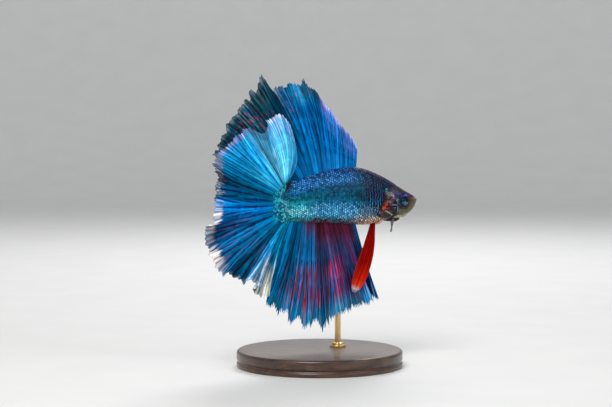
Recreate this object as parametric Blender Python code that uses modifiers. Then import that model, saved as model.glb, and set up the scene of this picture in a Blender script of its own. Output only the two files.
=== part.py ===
# A male halfmoon betta (Betta splendens) as a life-size museum model on a small display stand.
# The fish heads along +X, its left side is +Y and +Z is up. The origin is the middle of the
# stand's underside. Lengths below are in millimetres and become metres in place().
import math

import bmesh
import bpy
import numpy as np
from mathutils import Matrix, Vector

MM = 0.001
GAP = 0.3  # left between neighbouring pieces
THINNEST = 0.12  # least half width of the body form when it is shrunk to hollow a pocket

# Fish: stations run back from the snout tip along the body's midline.
STANDARD_LENGTH = 45.3  # snout tip to tail-fin root
AXIS_HEIGHT = 50.0  # body axis over the floor
STATION_OVER_ORIGIN = 33.3  # this station stands over the middle of the base
FIN_THICKNESS = 0.5
FIN_ROWS = 6

# Body section at each station: back height and belly depth from the axis, half width,
# height of the widest line, and how boxy the section is (2 is an ellipse).
STATION = (0.0, 0.55, 1.4, 2.8, 5.1, 7.6, 10.3, 13.3, 15.3, 18.3, 21.8, 27.3, 33.3, 38.3, 42.8, 45.3)
BACK = (0.05, 0.55, 1.0, 1.7, 2.75, 4.1, 5.65, 7.15, 8.0, 9.1, 9.75, 9.4, 8.25, 6.85, 5.55, 5.0)
BELLY = (0.8, 2.45, 3.45, 4.7, 6.0, 6.25, 6.35, 6.75, 7.35, 7.75, 7.65, 7.1, 6.85, 6.65, 6.4, 6.2)
HALF_WIDTH = (0.5, 1.15, 1.55, 2.15, 3.0, 3.6, 4.1, 4.4, 4.4, 4.3, 4.05, 3.5, 2.75, 2.0, 1.35, 1.0)
WIDEST = (-0.4, -0.7, -0.9, -1.1, -1.0, -0.7, -0.3, 0.0, 0.2, 0.6, 1.0, 0.9, 0.6, 0.1, -0.4, -0.6)
BOXY = (2.0, 2.1, 2.2, 2.3, 2.35, 2.35, 2.3, 2.2, 2.1, 2.0, 1.95, 1.9, 1.85, 1.85, 1.85, 1.9)

# Turn of the midline seen from above, in degrees towards the fish's left, at some stations.
TURN_AT = (0.0, 13.3, 23.3, 35.3, 45.3, 82.0)
TURN = (5.0, 3.0, 0.0, -5.0, -9.0, -9.0)

END_ROUNDING = 2.7  # the tail stalk closes over this length, in a half oval
RINGS = (0.0, 0.25, 0.65, 1.3, 2.2, 3.4, 4.8, 6.3, 7.9, 9.5, 11.1, 12.7, 14.6, 17.0, 20.0, 23.5,
         28.0, 32.5, 36.4, 40.3, 42.6, 43.9, 44.8, 45.3)
SECTION_SIDES = 28

NECK, WAIST, STALK = 13.6, 25.2, 37.0  # stations where the body is parted

EYE = {"station": 5.65, "height": -0.85, "side": 2.75, "radius": 1.7, "depth": 1.05, "ahead": 17, "up": 8}
GILL_COVER = {"station": 12.2, "height": -0.95, "half_length": 2.9, "half_height": 4.3,
              "proud": 0.2, "thickness": 1.0}
# The lower jaw is what lies under this line of (station, height).
JAW_LINE = ((-1.0, 0.3), (0.4, -0.15), (2.6, -2.3), (5.6, -4.5), (8.1, -5.2))
JAW_FLOOR = -9.0

# Fins: each ray starts on the root line and leans back from upright by `lean` degrees.
# Rows are (place along the fin from 0 at the front to 1 at the back, value).
DORSAL = {
    "up": 1,
    "root": (21.3, 41.9),
    "lean": ((0, -4), (0.2, 5), (0.5, 12), (0.7, 23), (0.8, 31), (0.9, 50), (1, 70)),
    "bend": ((0, 6), (0.6, 14), (1, 4)),
    "reach": ((0, 5.2), (0.05, 7.6), (0.1, 9.2), (0.2, 12.6), (0.3, 15.2), (0.4, 20.6), (0.5, 26.8),
              (0.6, 28.2), (0.7, 27.8), (0.78, 31.6), (0.86, 27.8), (0.93, 25.6), (1, 24.0)),
    "sway": ((0, 0), (0.5, -1.2), (0.7, -0.6), (0.8, 3.6), (1, 4.6)),
    "fold_turns": ((0, 0), (0.16, 1), (0.34, 2), (0.5, 3), (0.68, 4), (0.78, 5), (0.9, 6), (1, 6.6)),
    "fold_depth": ((0, 0.7), (0.5, 1.3), (0.7, 1.7), (1, 1.0)),
    "overhang": ((0, 2.5), (1, 2.5)),
    "teeth": 20,
    "tooth_depth": 0.03,
}
ANAL = {
    "up": -1,
    "root": (21.3, 42.3),
    "lean": ((0, -18), (0.25, -10), (0.5, -2.5), (0.75, 6), (0.92, 17), (1, 40)),
    "bend": ((0, -4), (1, 6)),
    "reach": ((0, 23.0), (0.12, 24.0), (0.25, 25.0), (0.5, 29.9), (0.62, 29.2), (0.8, 27.6), (0.92, 25.2),
              (1, 14.5)),
    "sway": ((0, 0.4), (0.12, 0.8), (0.25, -2.0), (0.5, -1.6), (0.8, -0.4), (1, 1.6)),
    "fold_turns": ((0, 0), (0.1, 1), (0.21, 2), (0.33, 3), (0.47, 4), (0.6, 5), (0.74, 6), (0.87, 7), (1, 8)),
    "fold_depth": ((0, 1.6), (0.25, 1.5), (0.5, 0.9), (1, 0.9)),
    "overhang": ((0, 2.0), (1, 2.0)),
    "teeth": 22,
    "tooth_depth": 0.045,
}
CAUDAL = {
    "up": 1,
    "root": (76, -76),  # the rays start round the oval end of the tail stalk, over these angles
    "lean": ((0, -1), (0.5, 82), (1, 161)),
    "bend": ((0, -12), (0.5, 0), (1, 8)),
    "reach": ((0, 12.0), (0.06, 20.2), (0.12, 19.4), (0.165, 17.0), (0.2, 20.4), (0.27, 21.2), (0.35, 23.4),
              (0.4, 22.6), (0.46, 19.0), (0.55, 19.8), (0.6, 21.0), (0.68, 24.6), (0.75, 25.2),
              (0.81, 25.6), (0.875, 23.2), (0.93, 20.2), (0.98, 21.8), (1, 20.0)),
    "sway": ((0, -3.0), (0.3, -3.4), (0.45, -1.2), (0.55, -2.6), (1, -3.4)),
    "fold_turns": ((0, -0.5), (0.07, 0), (0.17, 1), (0.29, 2), (0.46, 3), (0.57, 4), (0.67, 5), (0.76, 6),
                   (0.85, 7), (0.92, 8), (0.97, 9), (1, 9.5)),
    "fold_depth": ((0, 1.0), (0.3, 1.9), (0.55, 2.2), (0.8, 1.4), (1, 0.9)),
    "overhang": ((0, 4.0), (0.44, 4.0), (0.52, 8.0), (0.6, 4.0), (1, 4.0)),
    "teeth": 28,
    "tooth_depth": 0.03,
}
# A paired fin hangs from its root along a curved quill: down, back and outwards.
PELVIC = {
    "station": 16.5, "height": -7.75, "side": 1.5, "length": 21.5, "curl": 12,
    "right": {"back": 13, "out": 7}, "left": {"back": 8, "out": 3},
    "width": ((0, 1.3), (0.15, 2.4), (0.35, 4.2), (0.6, 4.8), (0.78, 4.0), (0.92, 2.0), (1, 0.7)),
}
PECTORAL = {
    "station": 15.9, "height": -2.6, "length": 8.6, "spread": 36, "curl": 8,
    "right": {"back": 72, "out": 16}, "left": {"back": -46, "out": 26},
}
GILL_MEMBRANE = {"front": 6.8, "back": 12.2, "side": 1.5, "drop": 1.5}

# Stand
BASE_RADIUS, BASE_THICKNESS, BASE_ROUNDING = 25.0, 5.0, 0.7
ROD_STATION, ROD_SIDE, ROD_RADIUS, ROD_TOP = 26.3, 2.3, 0.9, -2.2
ROD_SINK = 3.0  # how far the rod goes down into the base
COLLAR_RADIUS, COLLAR_HEIGHT = 2.4, 1.6

COLOURS = {  # base colour, roughness, metallic
    "skin": ((0.06, 0.16, 0.33), 0.35, 0.3),
    "face": ((0.25, 0.22, 0.2), 0.4, 0.1),
    "fin_blue": ((0.01, 0.16, 0.5), 0.4, 0.2),
    "fin_red": ((0.65, 0.02, 0.01), 0.4, 0.0),
    "fin_clear": ((0.6, 0.62, 0.6), 0.3, 0.0),
    "membrane": ((0.12, 0.01, 0.02), 0.45, 0.0),
    "eye": ((0.01, 0.02, 0.03), 0.08, 0.0),
    "wood": ((0.09, 0.04, 0.02), 0.4, 0.0),
    "brass": ((0.7, 0.5, 0.22), 0.3, 1.0),
}


def smooth(x, knots, values):
    """Values at x on a smooth curve through the knots that doesn't overshoot them."""
    x, knots, values = (np.asarray(v, float) for v in (x, knots, values))
    step, slope = np.diff(knots), np.diff(values) / np.diff(knots)
    same_way = slope[:-1] * slope[1:] > 0
    inner = np.where(same_way, 2 * slope[:-1] * slope[1:] / np.where(same_way, slope[:-1] + slope[1:], 1), 0)
    tangent = np.concatenate([slope[:1], inner, slope[-1:]])
    i = np.clip(np.searchsorted(knots, x, side="right") - 1, 0, len(step) - 1)
    u = np.clip((x - knots[i]) / step[i], 0, 1)
    return (
        values[i] * (1 + 2 * u) * (1 - u) ** 2
        + values[i + 1] * u**2 * (3 - 2 * u)
        + step[i] * (tangent[i] * u * (1 - u) ** 2 - tangent[i + 1] * u**2 * (1 - u))
    )


def along(rows, t):
    places, values = zip(*rows)
    return smooth(t, places, values)


# The midline, summed up in short steps back from the station over the origin.
STEPS = np.arange(-5, 90, 0.1)
HEADING = np.radians(smooth(STEPS, TURN_AT, TURN))
LINE_X = -np.cumsum(np.cos(HEADING)) * 0.1
LINE_Y = -np.cumsum(np.sin(HEADING)) * 0.1
LINE_X = LINE_X - np.interp(STATION_OVER_ORIGIN, STEPS, LINE_X)
LINE_Y = LINE_Y - np.interp(STATION_OVER_ORIGIN, STEPS, LINE_Y)


def place(station, height, side):
    """Point in metres at a station, a height over the axis and a distance to the fish's left."""
    heading = math.radians(float(smooth(station, TURN_AT, TURN)))
    x = np.interp(station, STEPS, LINE_X) - math.sin(heading) * side
    y = np.interp(station, STEPS, LINE_Y) + math.cos(heading) * side
    return Vector((x, y, AXIS_HEIGHT + height)) * MM


def heading_at(station):
    return math.radians(float(smooth(station, TURN_AT, TURN)))


def section(station):
    """Back height, belly depth, half width, widest height and boxiness there."""
    back, belly, half_width, widest, boxy = (
        float(smooth(station, STATION, row)) for row in (BACK, BELLY, HALF_WIDTH, WIDEST, BOXY)
    )
    into_end = max(0.0, (station - (STANDARD_LENGTH - END_ROUNDING)) / (END_ROUNDING + GAP))
    closing = math.sqrt(1 - into_end**2)
    back = widest + (back - widest) * closing
    belly = (belly + widest) * closing - widest
    return back, belly, half_width * closing**0.5, widest, boxy


def skin_point(station, angle, inflate=0.0):
    """(height, side) on the section's outline; angle 0 is the left side and 90 degrees the back."""
    back, belly, half_width, widest, boxy = section(station)
    c, s = math.cos(angle), math.sin(angle)
    side = max(half_width + inflate, THINNEST) * math.copysign(abs(c) ** (2 / boxy), c)
    rise = max((back - widest if s > 0 else belly + widest) + inflate, THINNEST)
    return widest + rise * math.copysign(abs(s) ** (2 / boxy), s), side


def clear_scene():
    for obj in list(bpy.data.objects):
        bpy.data.objects.remove(obj, do_unlink=True)


def collection(name):
    made = bpy.data.collections.new(name)
    bpy.context.scene.collection.children.link(made)
    return made


def material(name):
    colour, roughness, metallic = COLOURS[name]
    made = bpy.data.materials.get(name) or bpy.data.materials.new(name)
    made.use_nodes = True
    shader = made.node_tree.nodes["Principled BSDF"]
    shader.inputs["Base Color"].default_value = (*colour, 1)
    shader.inputs["Roughness"].default_value = roughness
    shader.inputs["Metallic"].default_value = metallic
    made.diffuse_color = (*colour, 1)
    return made


def new_object(name, bm, group, finish=None, origin=(0, 0, 0), smooth_angle=40):
    """An object from a bmesh in world space, with its own origin."""
    bmesh.ops.translate(bm, verts=bm.verts, vec=-Vector(origin))
    mesh = bpy.data.meshes.new(name)
    bm.to_mesh(mesh)
    bm.free()
    mesh.shade_smooth()
    mesh.set_sharp_from_angle(angle=math.radians(smooth_angle))
    obj = bpy.data.objects.new(name, mesh)
    obj.location = origin
    group.objects.link(obj)
    if finish:
        mesh.materials.append(material(finish))
    return obj


def face_outwards(bm):
    """Turns every face outwards, at a size where Blender's test is sure of small faces."""
    bmesh.ops.scale(bm, verts=bm.verts, vec=(1 / MM,) * 3)
    bmesh.ops.recalc_face_normals(bm, faces=bm.faces)
    bmesh.ops.scale(bm, verts=bm.verts, vec=(MM,) * 3)


def as_cutter(obj):
    obj.hide_render = True
    obj.display_type = "WIRE"
    return obj


def boolean(obj, operation, other):
    modifier = obj.modifiers.new(operation.title(), "BOOLEAN")
    modifier.operation = operation
    modifier.object = other
    modifier.solver = "EXACT"


# Flesh


def body_form(inflate=0.0):
    """The whole body as one closed form: a sphere whose rings become the body's sections."""
    bm = bmesh.new()
    bmesh.ops.create_uvsphere(bm, u_segments=SECTION_SIDES, v_segments=len(RINGS) + 1, radius=1)
    for v in bm.verts:
        ring = round(math.acos(max(-1, min(1, v.co.z))) / math.pi * (len(RINGS) + 1))
        station = RINGS[min(max(ring - 1, 0), len(RINGS) - 1)]
        height, side = skin_point(station, math.atan2(v.co.y, v.co.x), inflate)
        if ring in (0, len(RINGS) + 1):
            height, side = section(station)[3], 0
        v.co = place(station, height, side)
    face_outwards(bm)
    return bm


def part_body(bm, front, back):
    """Keeps the body between two stations, with flat ends across the midline."""
    for station, keep in ((front, -1), (back, 1)):
        if station is None:
            continue
        heading = heading_at(station)
        forwards = Vector((math.cos(heading), math.sin(heading), 0))
        cut = bmesh.ops.bisect_plane(
            bm,
            geom=bm.verts[:] + bm.edges[:] + bm.faces[:],
            plane_co=place(station, 0, 0),
            plane_no=forwards,
            clear_inner=keep > 0,
            clear_outer=keep < 0,
        )
        rim = [e for e in cut["geom_cut"] if isinstance(e, bmesh.types.BMEdge)]
        bmesh.ops.holes_fill(bm, edges=rim, sides=0)
    face_outwards(bm)
    return bm


def cover_prism(sign, grow):
    """A prism through one side of the head, with the gill cover's oval outline."""
    bm = bmesh.new()
    bmesh.ops.create_cone(bm, cap_ends=True, segments=28, radius1=1, radius2=1, depth=2)
    for v in bm.verts:
        station = GILL_COVER["station"] + (GILL_COVER["half_length"] + grow) * v.co.x
        height = GILL_COVER["height"] + (GILL_COVER["half_height"] + grow) * v.co.y
        v.co = place(station, height, sign * (3.9 + 3.0 * v.co.z))
    face_outwards(bm)
    return bm


def jaw_prism(lift):
    """A slab across the whole head under the jaw line, raised by lift."""
    front, back = JAW_LINE[0][0], JAW_LINE[-1][0]
    outline = [(s, z + lift) for s, z in JAW_LINE] + [(back + lift, JAW_FLOOR), (front, JAW_FLOOR)]
    bm = bmesh.new()
    edge = [bm.verts.new(place(s, z, -7)) for s, z in outline]
    face = bm.faces.new(edge)
    moved = bmesh.ops.extrude_face_region(bm, geom=[face])["geom"]
    across = place(4, 0, 7) - place(4, 0, -7)
    bmesh.ops.translate(bm, verts=[g for g in moved if isinstance(g, bmesh.types.BMVert)], vec=across)
    face_outwards(bm)
    return bm


def eye_form(sign, grow=0.0):
    """A flattened ball that looks outwards, a little ahead and up."""
    bm = bmesh.new()
    bmesh.ops.create_uvsphere(bm, u_segments=16, v_segments=8, radius=1)
    flat, wide = (EYE["depth"] + grow) * MM, (EYE["radius"] + grow) * MM
    bmesh.ops.scale(bm, verts=bm.verts, vec=(wide, wide, flat))
    turn = (
        Matrix.Rotation(heading_at(EYE["station"]) - sign * math.radians(EYE["ahead"]), 4, "Z")
        @ Matrix.Rotation(sign * math.radians(EYE["up"]), 4, "X")
        @ Matrix.Rotation(-sign * math.pi / 2, 4, "X")
    )
    spot = Matrix.Translation(place(EYE["station"], EYE["height"], sign * EYE["side"]))
    bmesh.ops.transform(bm, matrix=spot @ turn, verts=bm.verts)
    return bm


def build_flesh(fish, cutters):
    pockets, jaw_cut = {}, as_cutter(new_object("cut_jaw", jaw_prism(GAP / 2), cutters))
    for name, sign in (("right", -1), ("left", 1)):
        pocket = as_cutter(new_object(f"cut_gill_{name}", cover_prism(sign, GAP), cutters))
        core = as_cutter(
            new_object(f"core_gill_{name}", body_form(-GILL_COVER["thickness"] - GAP), cutters)
        )
        boolean(pocket, "DIFFERENCE", core)
        pockets[name] = pocket

        cover = new_object(f"gill_cover_{name}", body_form(GILL_COVER["proud"]), fish, "face")
        boolean(cover, "INTERSECT", as_cutter(new_object(f"oval_{name}", cover_prism(sign, 0), cutters)))
        inner = as_cutter(new_object(f"inner_{name}", body_form(-GILL_COVER["thickness"]), cutters))
        boolean(cover, "DIFFERENCE", inner)

        new_object(f"eye_{name}", eye_form(sign), fish, "eye")

    head = new_object("head", part_body(body_form(), None, NECK), fish, "face")
    boolean(head, "DIFFERENCE", jaw_cut)
    for name, sign in (("right", -1), ("left", 1)):
        boolean(head, "DIFFERENCE", pockets[name])
        socket = as_cutter(new_object(f"cut_eye_{name}", eye_form(sign, GAP), cutters))
        boolean(head, "DIFFERENCE", socket)

    jaw = new_object("jaw_lower", part_body(body_form(), None, NECK), fish, "face")
    boolean(jaw, "INTERSECT", as_cutter(new_object("keep_jaw", jaw_prism(-GAP / 2), cutters)))
    for name in pockets:
        boolean(jaw, "DIFFERENCE", pockets[name])

    front = new_object("trunk_front", part_body(body_form(), NECK + GAP, WAIST), fish, "skin")
    rear = new_object("trunk_rear", part_body(body_form(), WAIST + GAP, STALK), fish, "skin")
    for name in pockets:
        boolean(front, "DIFFERENCE", pockets[name])
    stalk = new_object("tail_stalk", part_body(body_form(), STALK + GAP, None), fish, "skin")
    return {"head": head, "front": front, "rear": rear, "stalk": stalk}


# Fins


def ray_point(fin, t, r):
    """(station, height, side) on a middle fin: t runs front to back, r from root to tip."""
    lean, bend = along(fin["lean"], t), along(fin["bend"], t)
    turns = along(fin["fold_turns"], t)
    swing = r**1.5 * along(fin["overhang"], t) * math.sin(2 * math.pi * turns)
    angle = math.radians(lean + bend * (r - 1) / 2 + swing)
    tooth = fin["tooth_depth"] * (2 * abs((t * fin["teeth"]) % 1 - 0.5) - 0.5)
    reach = along(fin["reach"], t) * (1 + tooth) * r
    station, height = fin_root(fin, t)
    side = along(fin["sway"], t) * r + along(fin["fold_depth"], t) * r**1.4 * -math.cos(math.pi * turns)
    return (
        station + reach * math.sin(angle),
        height + fin["up"] * reach * math.cos(angle),
        side,
    )


def fin_root(fin, t):
    """Station and height where ray t leaves the body."""
    first, last = fin["root"]
    if fin is CAUDAL:
        turn = math.radians(first + (last - first) * t)
        start = STANDARD_LENGTH - END_ROUNDING
        back, belly, _, widest, _ = section(start)
        half_height = (back + belly) / 2 + GAP
        length = END_ROUNDING + 2 * GAP
        return start + length * math.cos(turn), (back - belly) / 2 + half_height * math.sin(turn)
    station = first + (last - first) * t
    back, belly = section(station)[:2]
    return station, (back + GAP if fin["up"] > 0 else -belly - GAP)


def fin_sheet(name, group, finish, columns, rows, surface):
    """A thin sheet over a grid: surface(t, r) gives (station, height, side)."""
    bm = bmesh.new()
    bmesh.ops.create_grid(bm, x_segments=columns, y_segments=rows, size=0.5)
    for v in bm.verts:
        v.co = place(*surface(v.co.x + 0.5, v.co.y + 0.5))
    root = place(*surface(0.5, 0.0))
    obj = new_object(name, bm, group, finish, origin=root, smooth_angle=60)
    skin = obj.modifiers.new("Thickness", "SOLIDIFY")
    skin.thickness = FIN_THICKNESS * MM
    skin.offset = 0
    return obj


def blade(fin, root, pose, sign, width, cup):
    """Surface of a paired fin: a blade that leaves its root at two angles and curls a little."""

    length, out = fin["length"], math.tan(math.radians(pose["out"]))

    def surface(t, r):
        across = (t - 0.5) * width(r)
        lean = math.radians(pose["back"] + fin["curl"] * (r - 0.5))
        station = root[0] + length * r * math.sin(lean) - across * math.cos(lean)
        height = root[1] - length * r * math.cos(lean) - across * math.sin(lean)
        side = root[2] + sign * (length * r * out + cup * across**2)
        return station, height, side

    return surface


def build_fins(fish):
    for name, fin in (("fin_dorsal", DORSAL), ("fin_anal", ANAL), ("fin_caudal", CAUDAL)):
        columns = 2 * fin["teeth"]  # one step up to each ray tip and one down
        fin_sheet(name, fish, "fin_blue", columns, FIN_ROWS, lambda t, r, fin=fin: ray_point(fin, t, r))

    for name, sign in (("right", -1), ("left", 1)):
        pose = PELVIC[name]
        root = (PELVIC["station"], PELVIC["height"], sign * PELVIC["side"])
        hang = blade(PELVIC, root, pose, sign, lambda r: float(along(PELVIC["width"], r)), 0.06)
        fin_sheet(f"fin_pelvic_{name}", fish, "fin_red", 4, 14, hang)

        pose = PECTORAL[name]
        side = section(PECTORAL["station"])[2] + GAP + 0.35
        root = (PECTORAL["station"], PECTORAL["height"], sign * side)
        fan = math.tan(math.radians(PECTORAL["spread"] / 2)) * 2 * PECTORAL["length"]
        paddle = blade(PECTORAL, root, pose, sign,
                       lambda r, fan=fan: 1.2 + fan * r * math.sqrt(1.02 - r**3), 0.03)
        fin_sheet(f"fin_pectoral_{name}", fish, "fin_clear", 6, 8, paddle)


def build_gill_membranes(fish):
    """The thin flap under each gill cover, showing below the throat."""
    m = GILL_MEMBRANE
    for name, sign in (("right", -1), ("left", 1)):

        def flap(t, r, sign=sign):
            station = m["front"] + (m["back"] - m["front"]) * t
            belly = section(station)[1]
            drop = m["drop"] * math.sin(math.pi * (0.12 + 0.88 * t) ** 0.8) + 0.5
            return station + 0.4 * r, -belly - GAP - drop * r, sign * (m["side"] * (0.35 + 0.65 * t) + 0.3 * r)

        fin_sheet(f"gill_membrane_{name}", fish, "membrane", 10, 2, flap)


# Stand


def cylinder(radius, low, high, centre, segments=24):
    bm = bmesh.new()
    bmesh.ops.create_cone(bm, cap_ends=True, segments=segments, radius1=radius * MM,
                          radius2=radius * MM, depth=(high - low) * MM)
    middle = Vector((centre.x, centre.y, (low + high) / 2 * MM))
    bmesh.ops.translate(bm, verts=bm.verts, vec=middle)
    return bm


def build_stand(fish, cutters, flesh):
    foot = place(ROD_STATION, 0, ROD_SIDE)
    floor = BASE_THICKNESS - ROD_SINK
    top = AXIS_HEIGHT + ROD_TOP
    middle = Vector((0, 0, 0))
    base = new_object("stand_base", cylinder(BASE_RADIUS, 0, BASE_THICKNESS, middle, 44), fish, "wood")
    rounding = base.modifiers.new("Rounding", "BEVEL")
    rounding.width = BASE_ROUNDING * MM
    rounding.segments = 2
    rounding.limit_method = "ANGLE"
    rounding.angle_limit = math.radians(40)
    hole = as_cutter(
        new_object("cut_base", cylinder(ROD_RADIUS + GAP, floor - GAP, BASE_THICKNESS + 5, foot), cutters)
    )
    boolean(base, "DIFFERENCE", hole)

    new_object("stand_rod", cylinder(ROD_RADIUS, floor, top, foot), fish, "brass")
    low = BASE_THICKNESS + GAP
    ring = new_object("stand_collar", cylinder(COLLAR_RADIUS, low, low + COLLAR_HEIGHT, foot), fish, "brass")
    bore = as_cutter(new_object("cut_collar", cylinder(ROD_RADIUS + GAP, low - 2, low + 5, foot), cutters))
    boolean(ring, "DIFFERENCE", bore)

    socket = as_cutter(
        new_object("cut_rod", cylinder(ROD_RADIUS + GAP, AXIS_HEIGHT - 20, top + GAP, foot), cutters)
    )
    boolean(flesh["rear"], "DIFFERENCE", socket)


def main():
    clear_scene()
    fish, cutters = collection("betta_fish"), collection("cutters")
    flesh = build_flesh(fish, cutters)
    build_fins(fish)
    build_gill_membranes(fish)
    build_stand(fish, cutters, flesh)
    stand = bpy.data.objects.new("betta_root", None)
    fish.objects.link(stand)
    for obj in fish.objects:
        if obj is not stand:
            obj.parent = stand


main()
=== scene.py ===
import math

import bpy
import numpy as np
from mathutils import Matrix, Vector


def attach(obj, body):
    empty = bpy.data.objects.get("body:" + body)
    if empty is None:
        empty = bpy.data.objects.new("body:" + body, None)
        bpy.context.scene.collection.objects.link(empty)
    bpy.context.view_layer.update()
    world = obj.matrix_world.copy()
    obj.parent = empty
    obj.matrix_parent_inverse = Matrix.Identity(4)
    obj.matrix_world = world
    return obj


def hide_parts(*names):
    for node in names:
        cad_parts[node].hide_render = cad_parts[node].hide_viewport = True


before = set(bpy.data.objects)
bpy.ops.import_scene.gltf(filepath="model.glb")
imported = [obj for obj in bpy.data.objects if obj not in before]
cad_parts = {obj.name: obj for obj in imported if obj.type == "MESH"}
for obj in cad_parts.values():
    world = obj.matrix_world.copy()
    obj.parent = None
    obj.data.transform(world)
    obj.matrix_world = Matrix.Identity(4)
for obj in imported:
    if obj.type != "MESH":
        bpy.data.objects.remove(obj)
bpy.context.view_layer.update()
print("frame loaded:", len(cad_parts), "solids")

# A male halfmoon betta as a life-size museum model. Lengths are millimetres in the fish's own measures:
# station runs back from the snout along the midline, height is over the body axis, side is to its left.
mm = 0.001

body = {
    "length": 45.3,  # from the snout to the root of the tail fin
    "axisHeight": 50.0,
    "stationOverOrigin": 33.3,
    # at each station: height of the back and depth of the belly from the axis, half width, how high the
    # widest place lies, and how boxy the section is (2 is an ellipse)
    "stations": (0.0, 0.55, 1.4, 2.8, 5.1, 7.6, 10.3, 13.3, 15.3, 18.3, 21.8, 27.3, 33.3, 38.3, 42.8, 45.3),
    "back": (0.05, 0.55, 1.0, 1.7, 2.75, 4.1, 5.65, 7.15, 8.0, 9.1, 9.75, 9.4, 8.25, 6.85, 5.55, 5.0),
    "belly": (0.8, 2.45, 3.45, 4.7, 6.0, 6.25, 6.35, 6.75, 7.35, 7.75, 7.65, 7.1, 6.85, 6.65, 6.4, 6.2),
    "halfWidth": (0.5, 1.15, 1.55, 2.15, 3.0, 3.6, 4.1, 4.4, 4.4, 4.3, 4.05, 3.5, 2.75, 2.0, 1.35, 1.0),
    "widest": (-0.4, -0.7, -0.9, -1.1, -1.0, -0.7, -0.3, 0.0, 0.2, 0.6, 1.0, 0.9, 0.6, 0.1, -0.4, -0.6),
    "boxy": (2.0, 2.1, 2.2, 2.3, 2.35, 2.35, 2.3, 2.2, 2.1, 2.0, 1.95, 1.9, 1.85, 1.85, 1.85, 1.9),
    "endRounding": 2.7,  # the stalk's end rounds off over this length
    "rootGap": 0.3,  # how far outside the section the fins' roots are measured
    # degrees that the midline is turned, at some stations
    "turnAt": (0.0, 13.3, 23.3, 35.3, 45.3, 82.0),
    "turn": (5.0, 3.0, 0.0, -5.0, -9.0, -9.0),
}


def smooth(x, knots, values):
    # a curve through the knots that never overshoots them
    x, knots, values = (np.asarray(v, float) for v in (x, knots, values))
    step = np.diff(knots)
    slope = np.diff(values) / step
    sameWay = slope[:-1] * slope[1:] > 0
    inner = np.where(sameWay, 2 * slope[:-1] * slope[1:] / np.where(sameWay, slope[:-1] + slope[1:], 1), 0)
    tangent = np.concatenate([slope[:1], inner, slope[-1:]])
    i = np.clip(np.searchsorted(knots, x, side="right") - 1, 0, len(step) - 1)
    u = np.clip((x - knots[i]) / step[i], 0, 1)
    return (
        values[i] * (1 + 2 * u) * (1 - u) ** 2
        + values[i + 1] * u**2 * (3 - 2 * u)
        + step[i] * (tangent[i] * u * (1 - u) ** 2 - tangent[i + 1] * u**2 * (1 - u))
    )


def along(rows, t):
    places, values = zip(*rows)
    return smooth(t, places, values)


def rise(x, low, high):
    u = np.clip((x - low) / (high - low), 0, 1)
    return u * u * (3 - 2 * u)


def hump(distance, width):
    return np.exp(-((distance / width) ** 2))


# the midline seen from above, summed in short steps
stepLength = 0.1
steps = np.arange(-5, 90, stepLength)
heading = np.radians(smooth(steps, body["turnAt"], body["turn"]))
lineX = -np.cumsum(np.cos(heading)) * stepLength
lineY = -np.cumsum(np.sin(heading)) * stepLength
lineX -= np.interp(body["stationOverOrigin"], steps, lineX)
lineY -= np.interp(body["stationOverOrigin"], steps, lineY)


def place(station, height, side):
    # fish measures in mm to points in metres; the last axis holds x, y, z
    station, height, side = np.broadcast_arrays(station, height, side)
    turn = np.radians(smooth(station, body["turnAt"], body["turn"]))
    x = np.interp(station, steps, lineX) - np.sin(turn) * side
    y = np.interp(station, steps, lineY) + np.cos(turn) * side
    return np.stack([x, y, body["axisHeight"] + height], -1) * mm


def section(station):
    # the body's section at a station, drawn in where the stalk's end rounds off
    rows = ("back", "belly", "halfWidth", "widest", "boxy")
    back, belly, halfWidth, widest, boxy = (smooth(station, body["stations"], body[row]) for row in rows)
    intoEnd = (station - (body["length"] - body["endRounding"])) / (body["endRounding"] + body["rootGap"])
    closing = np.sqrt(1 - np.clip(intoEnd, 0, 0.995) ** 2)
    back = widest + (back - widest) * closing
    belly = (belly + widest) * closing - widest
    return back, belly, halfWidth * closing**0.5, widest, boxy


def outline(station, angle):
    # height and side on the section's outline; angle 0 is the left side, 90 degrees the back
    back, belly, halfWidth, widest, boxy = section(station)
    across, up = np.cos(angle), np.sin(angle)
    side = halfWidth * np.sign(across) * np.abs(across) ** (2 / boxy)
    upright = np.where(up > 0, back - widest, belly + widest)
    return widest + upright * np.sign(up) * np.abs(up) ** (2 / boxy), side


# Where each share of the girth lies: round goes from 0 at the back, down the left side to 0.5 at the
# belly and up the right side to 1, in equal lengths of skin.
girthStations = np.linspace(0, body["length"], 181)
girthAngles = np.linspace(math.pi / 2, -math.pi / 2, 721)
girthShares = np.linspace(0, 1, 129)
girthTable = np.empty((len(girthStations), len(girthShares)))
for row, station in enumerate(girthStations):
    height, side = outline(np.full_like(girthAngles, station), girthAngles)
    run = np.concatenate([[0], np.cumsum(np.hypot(np.diff(height), np.diff(side)))])
    girthTable[row] = np.interp(girthShares, run / run[-1], girthAngles)


def skinPlace(station, around):
    # (height, side) of the body at a share of its girth
    share = 1 - np.abs(2 * (around % 1) - 1)
    left = (around % 1) <= 0.5
    row = np.clip(station / body["length"], 0, 1) * (len(girthStations) - 1)
    column = share * (len(girthShares) - 1)
    ahead = np.clip(row.astype(int), 0, len(girthStations) - 2)
    above = np.clip(column.astype(int), 0, len(girthShares) - 2)
    u, v = row - ahead, column - above
    angle = (
        girthTable[ahead, above] * (1 - u) * (1 - v)
        + girthTable[ahead + 1, above] * u * (1 - v)
        + girthTable[ahead, above + 1] * (1 - u) * v
        + girthTable[ahead + 1, above + 1] * u * v
    )
    height, side = outline(station, angle)
    return height, np.where(left, side, -side)


def unit(v):
    return v / np.maximum(np.linalg.norm(v, axis=-1, keepdims=True), 1e-12)


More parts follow.
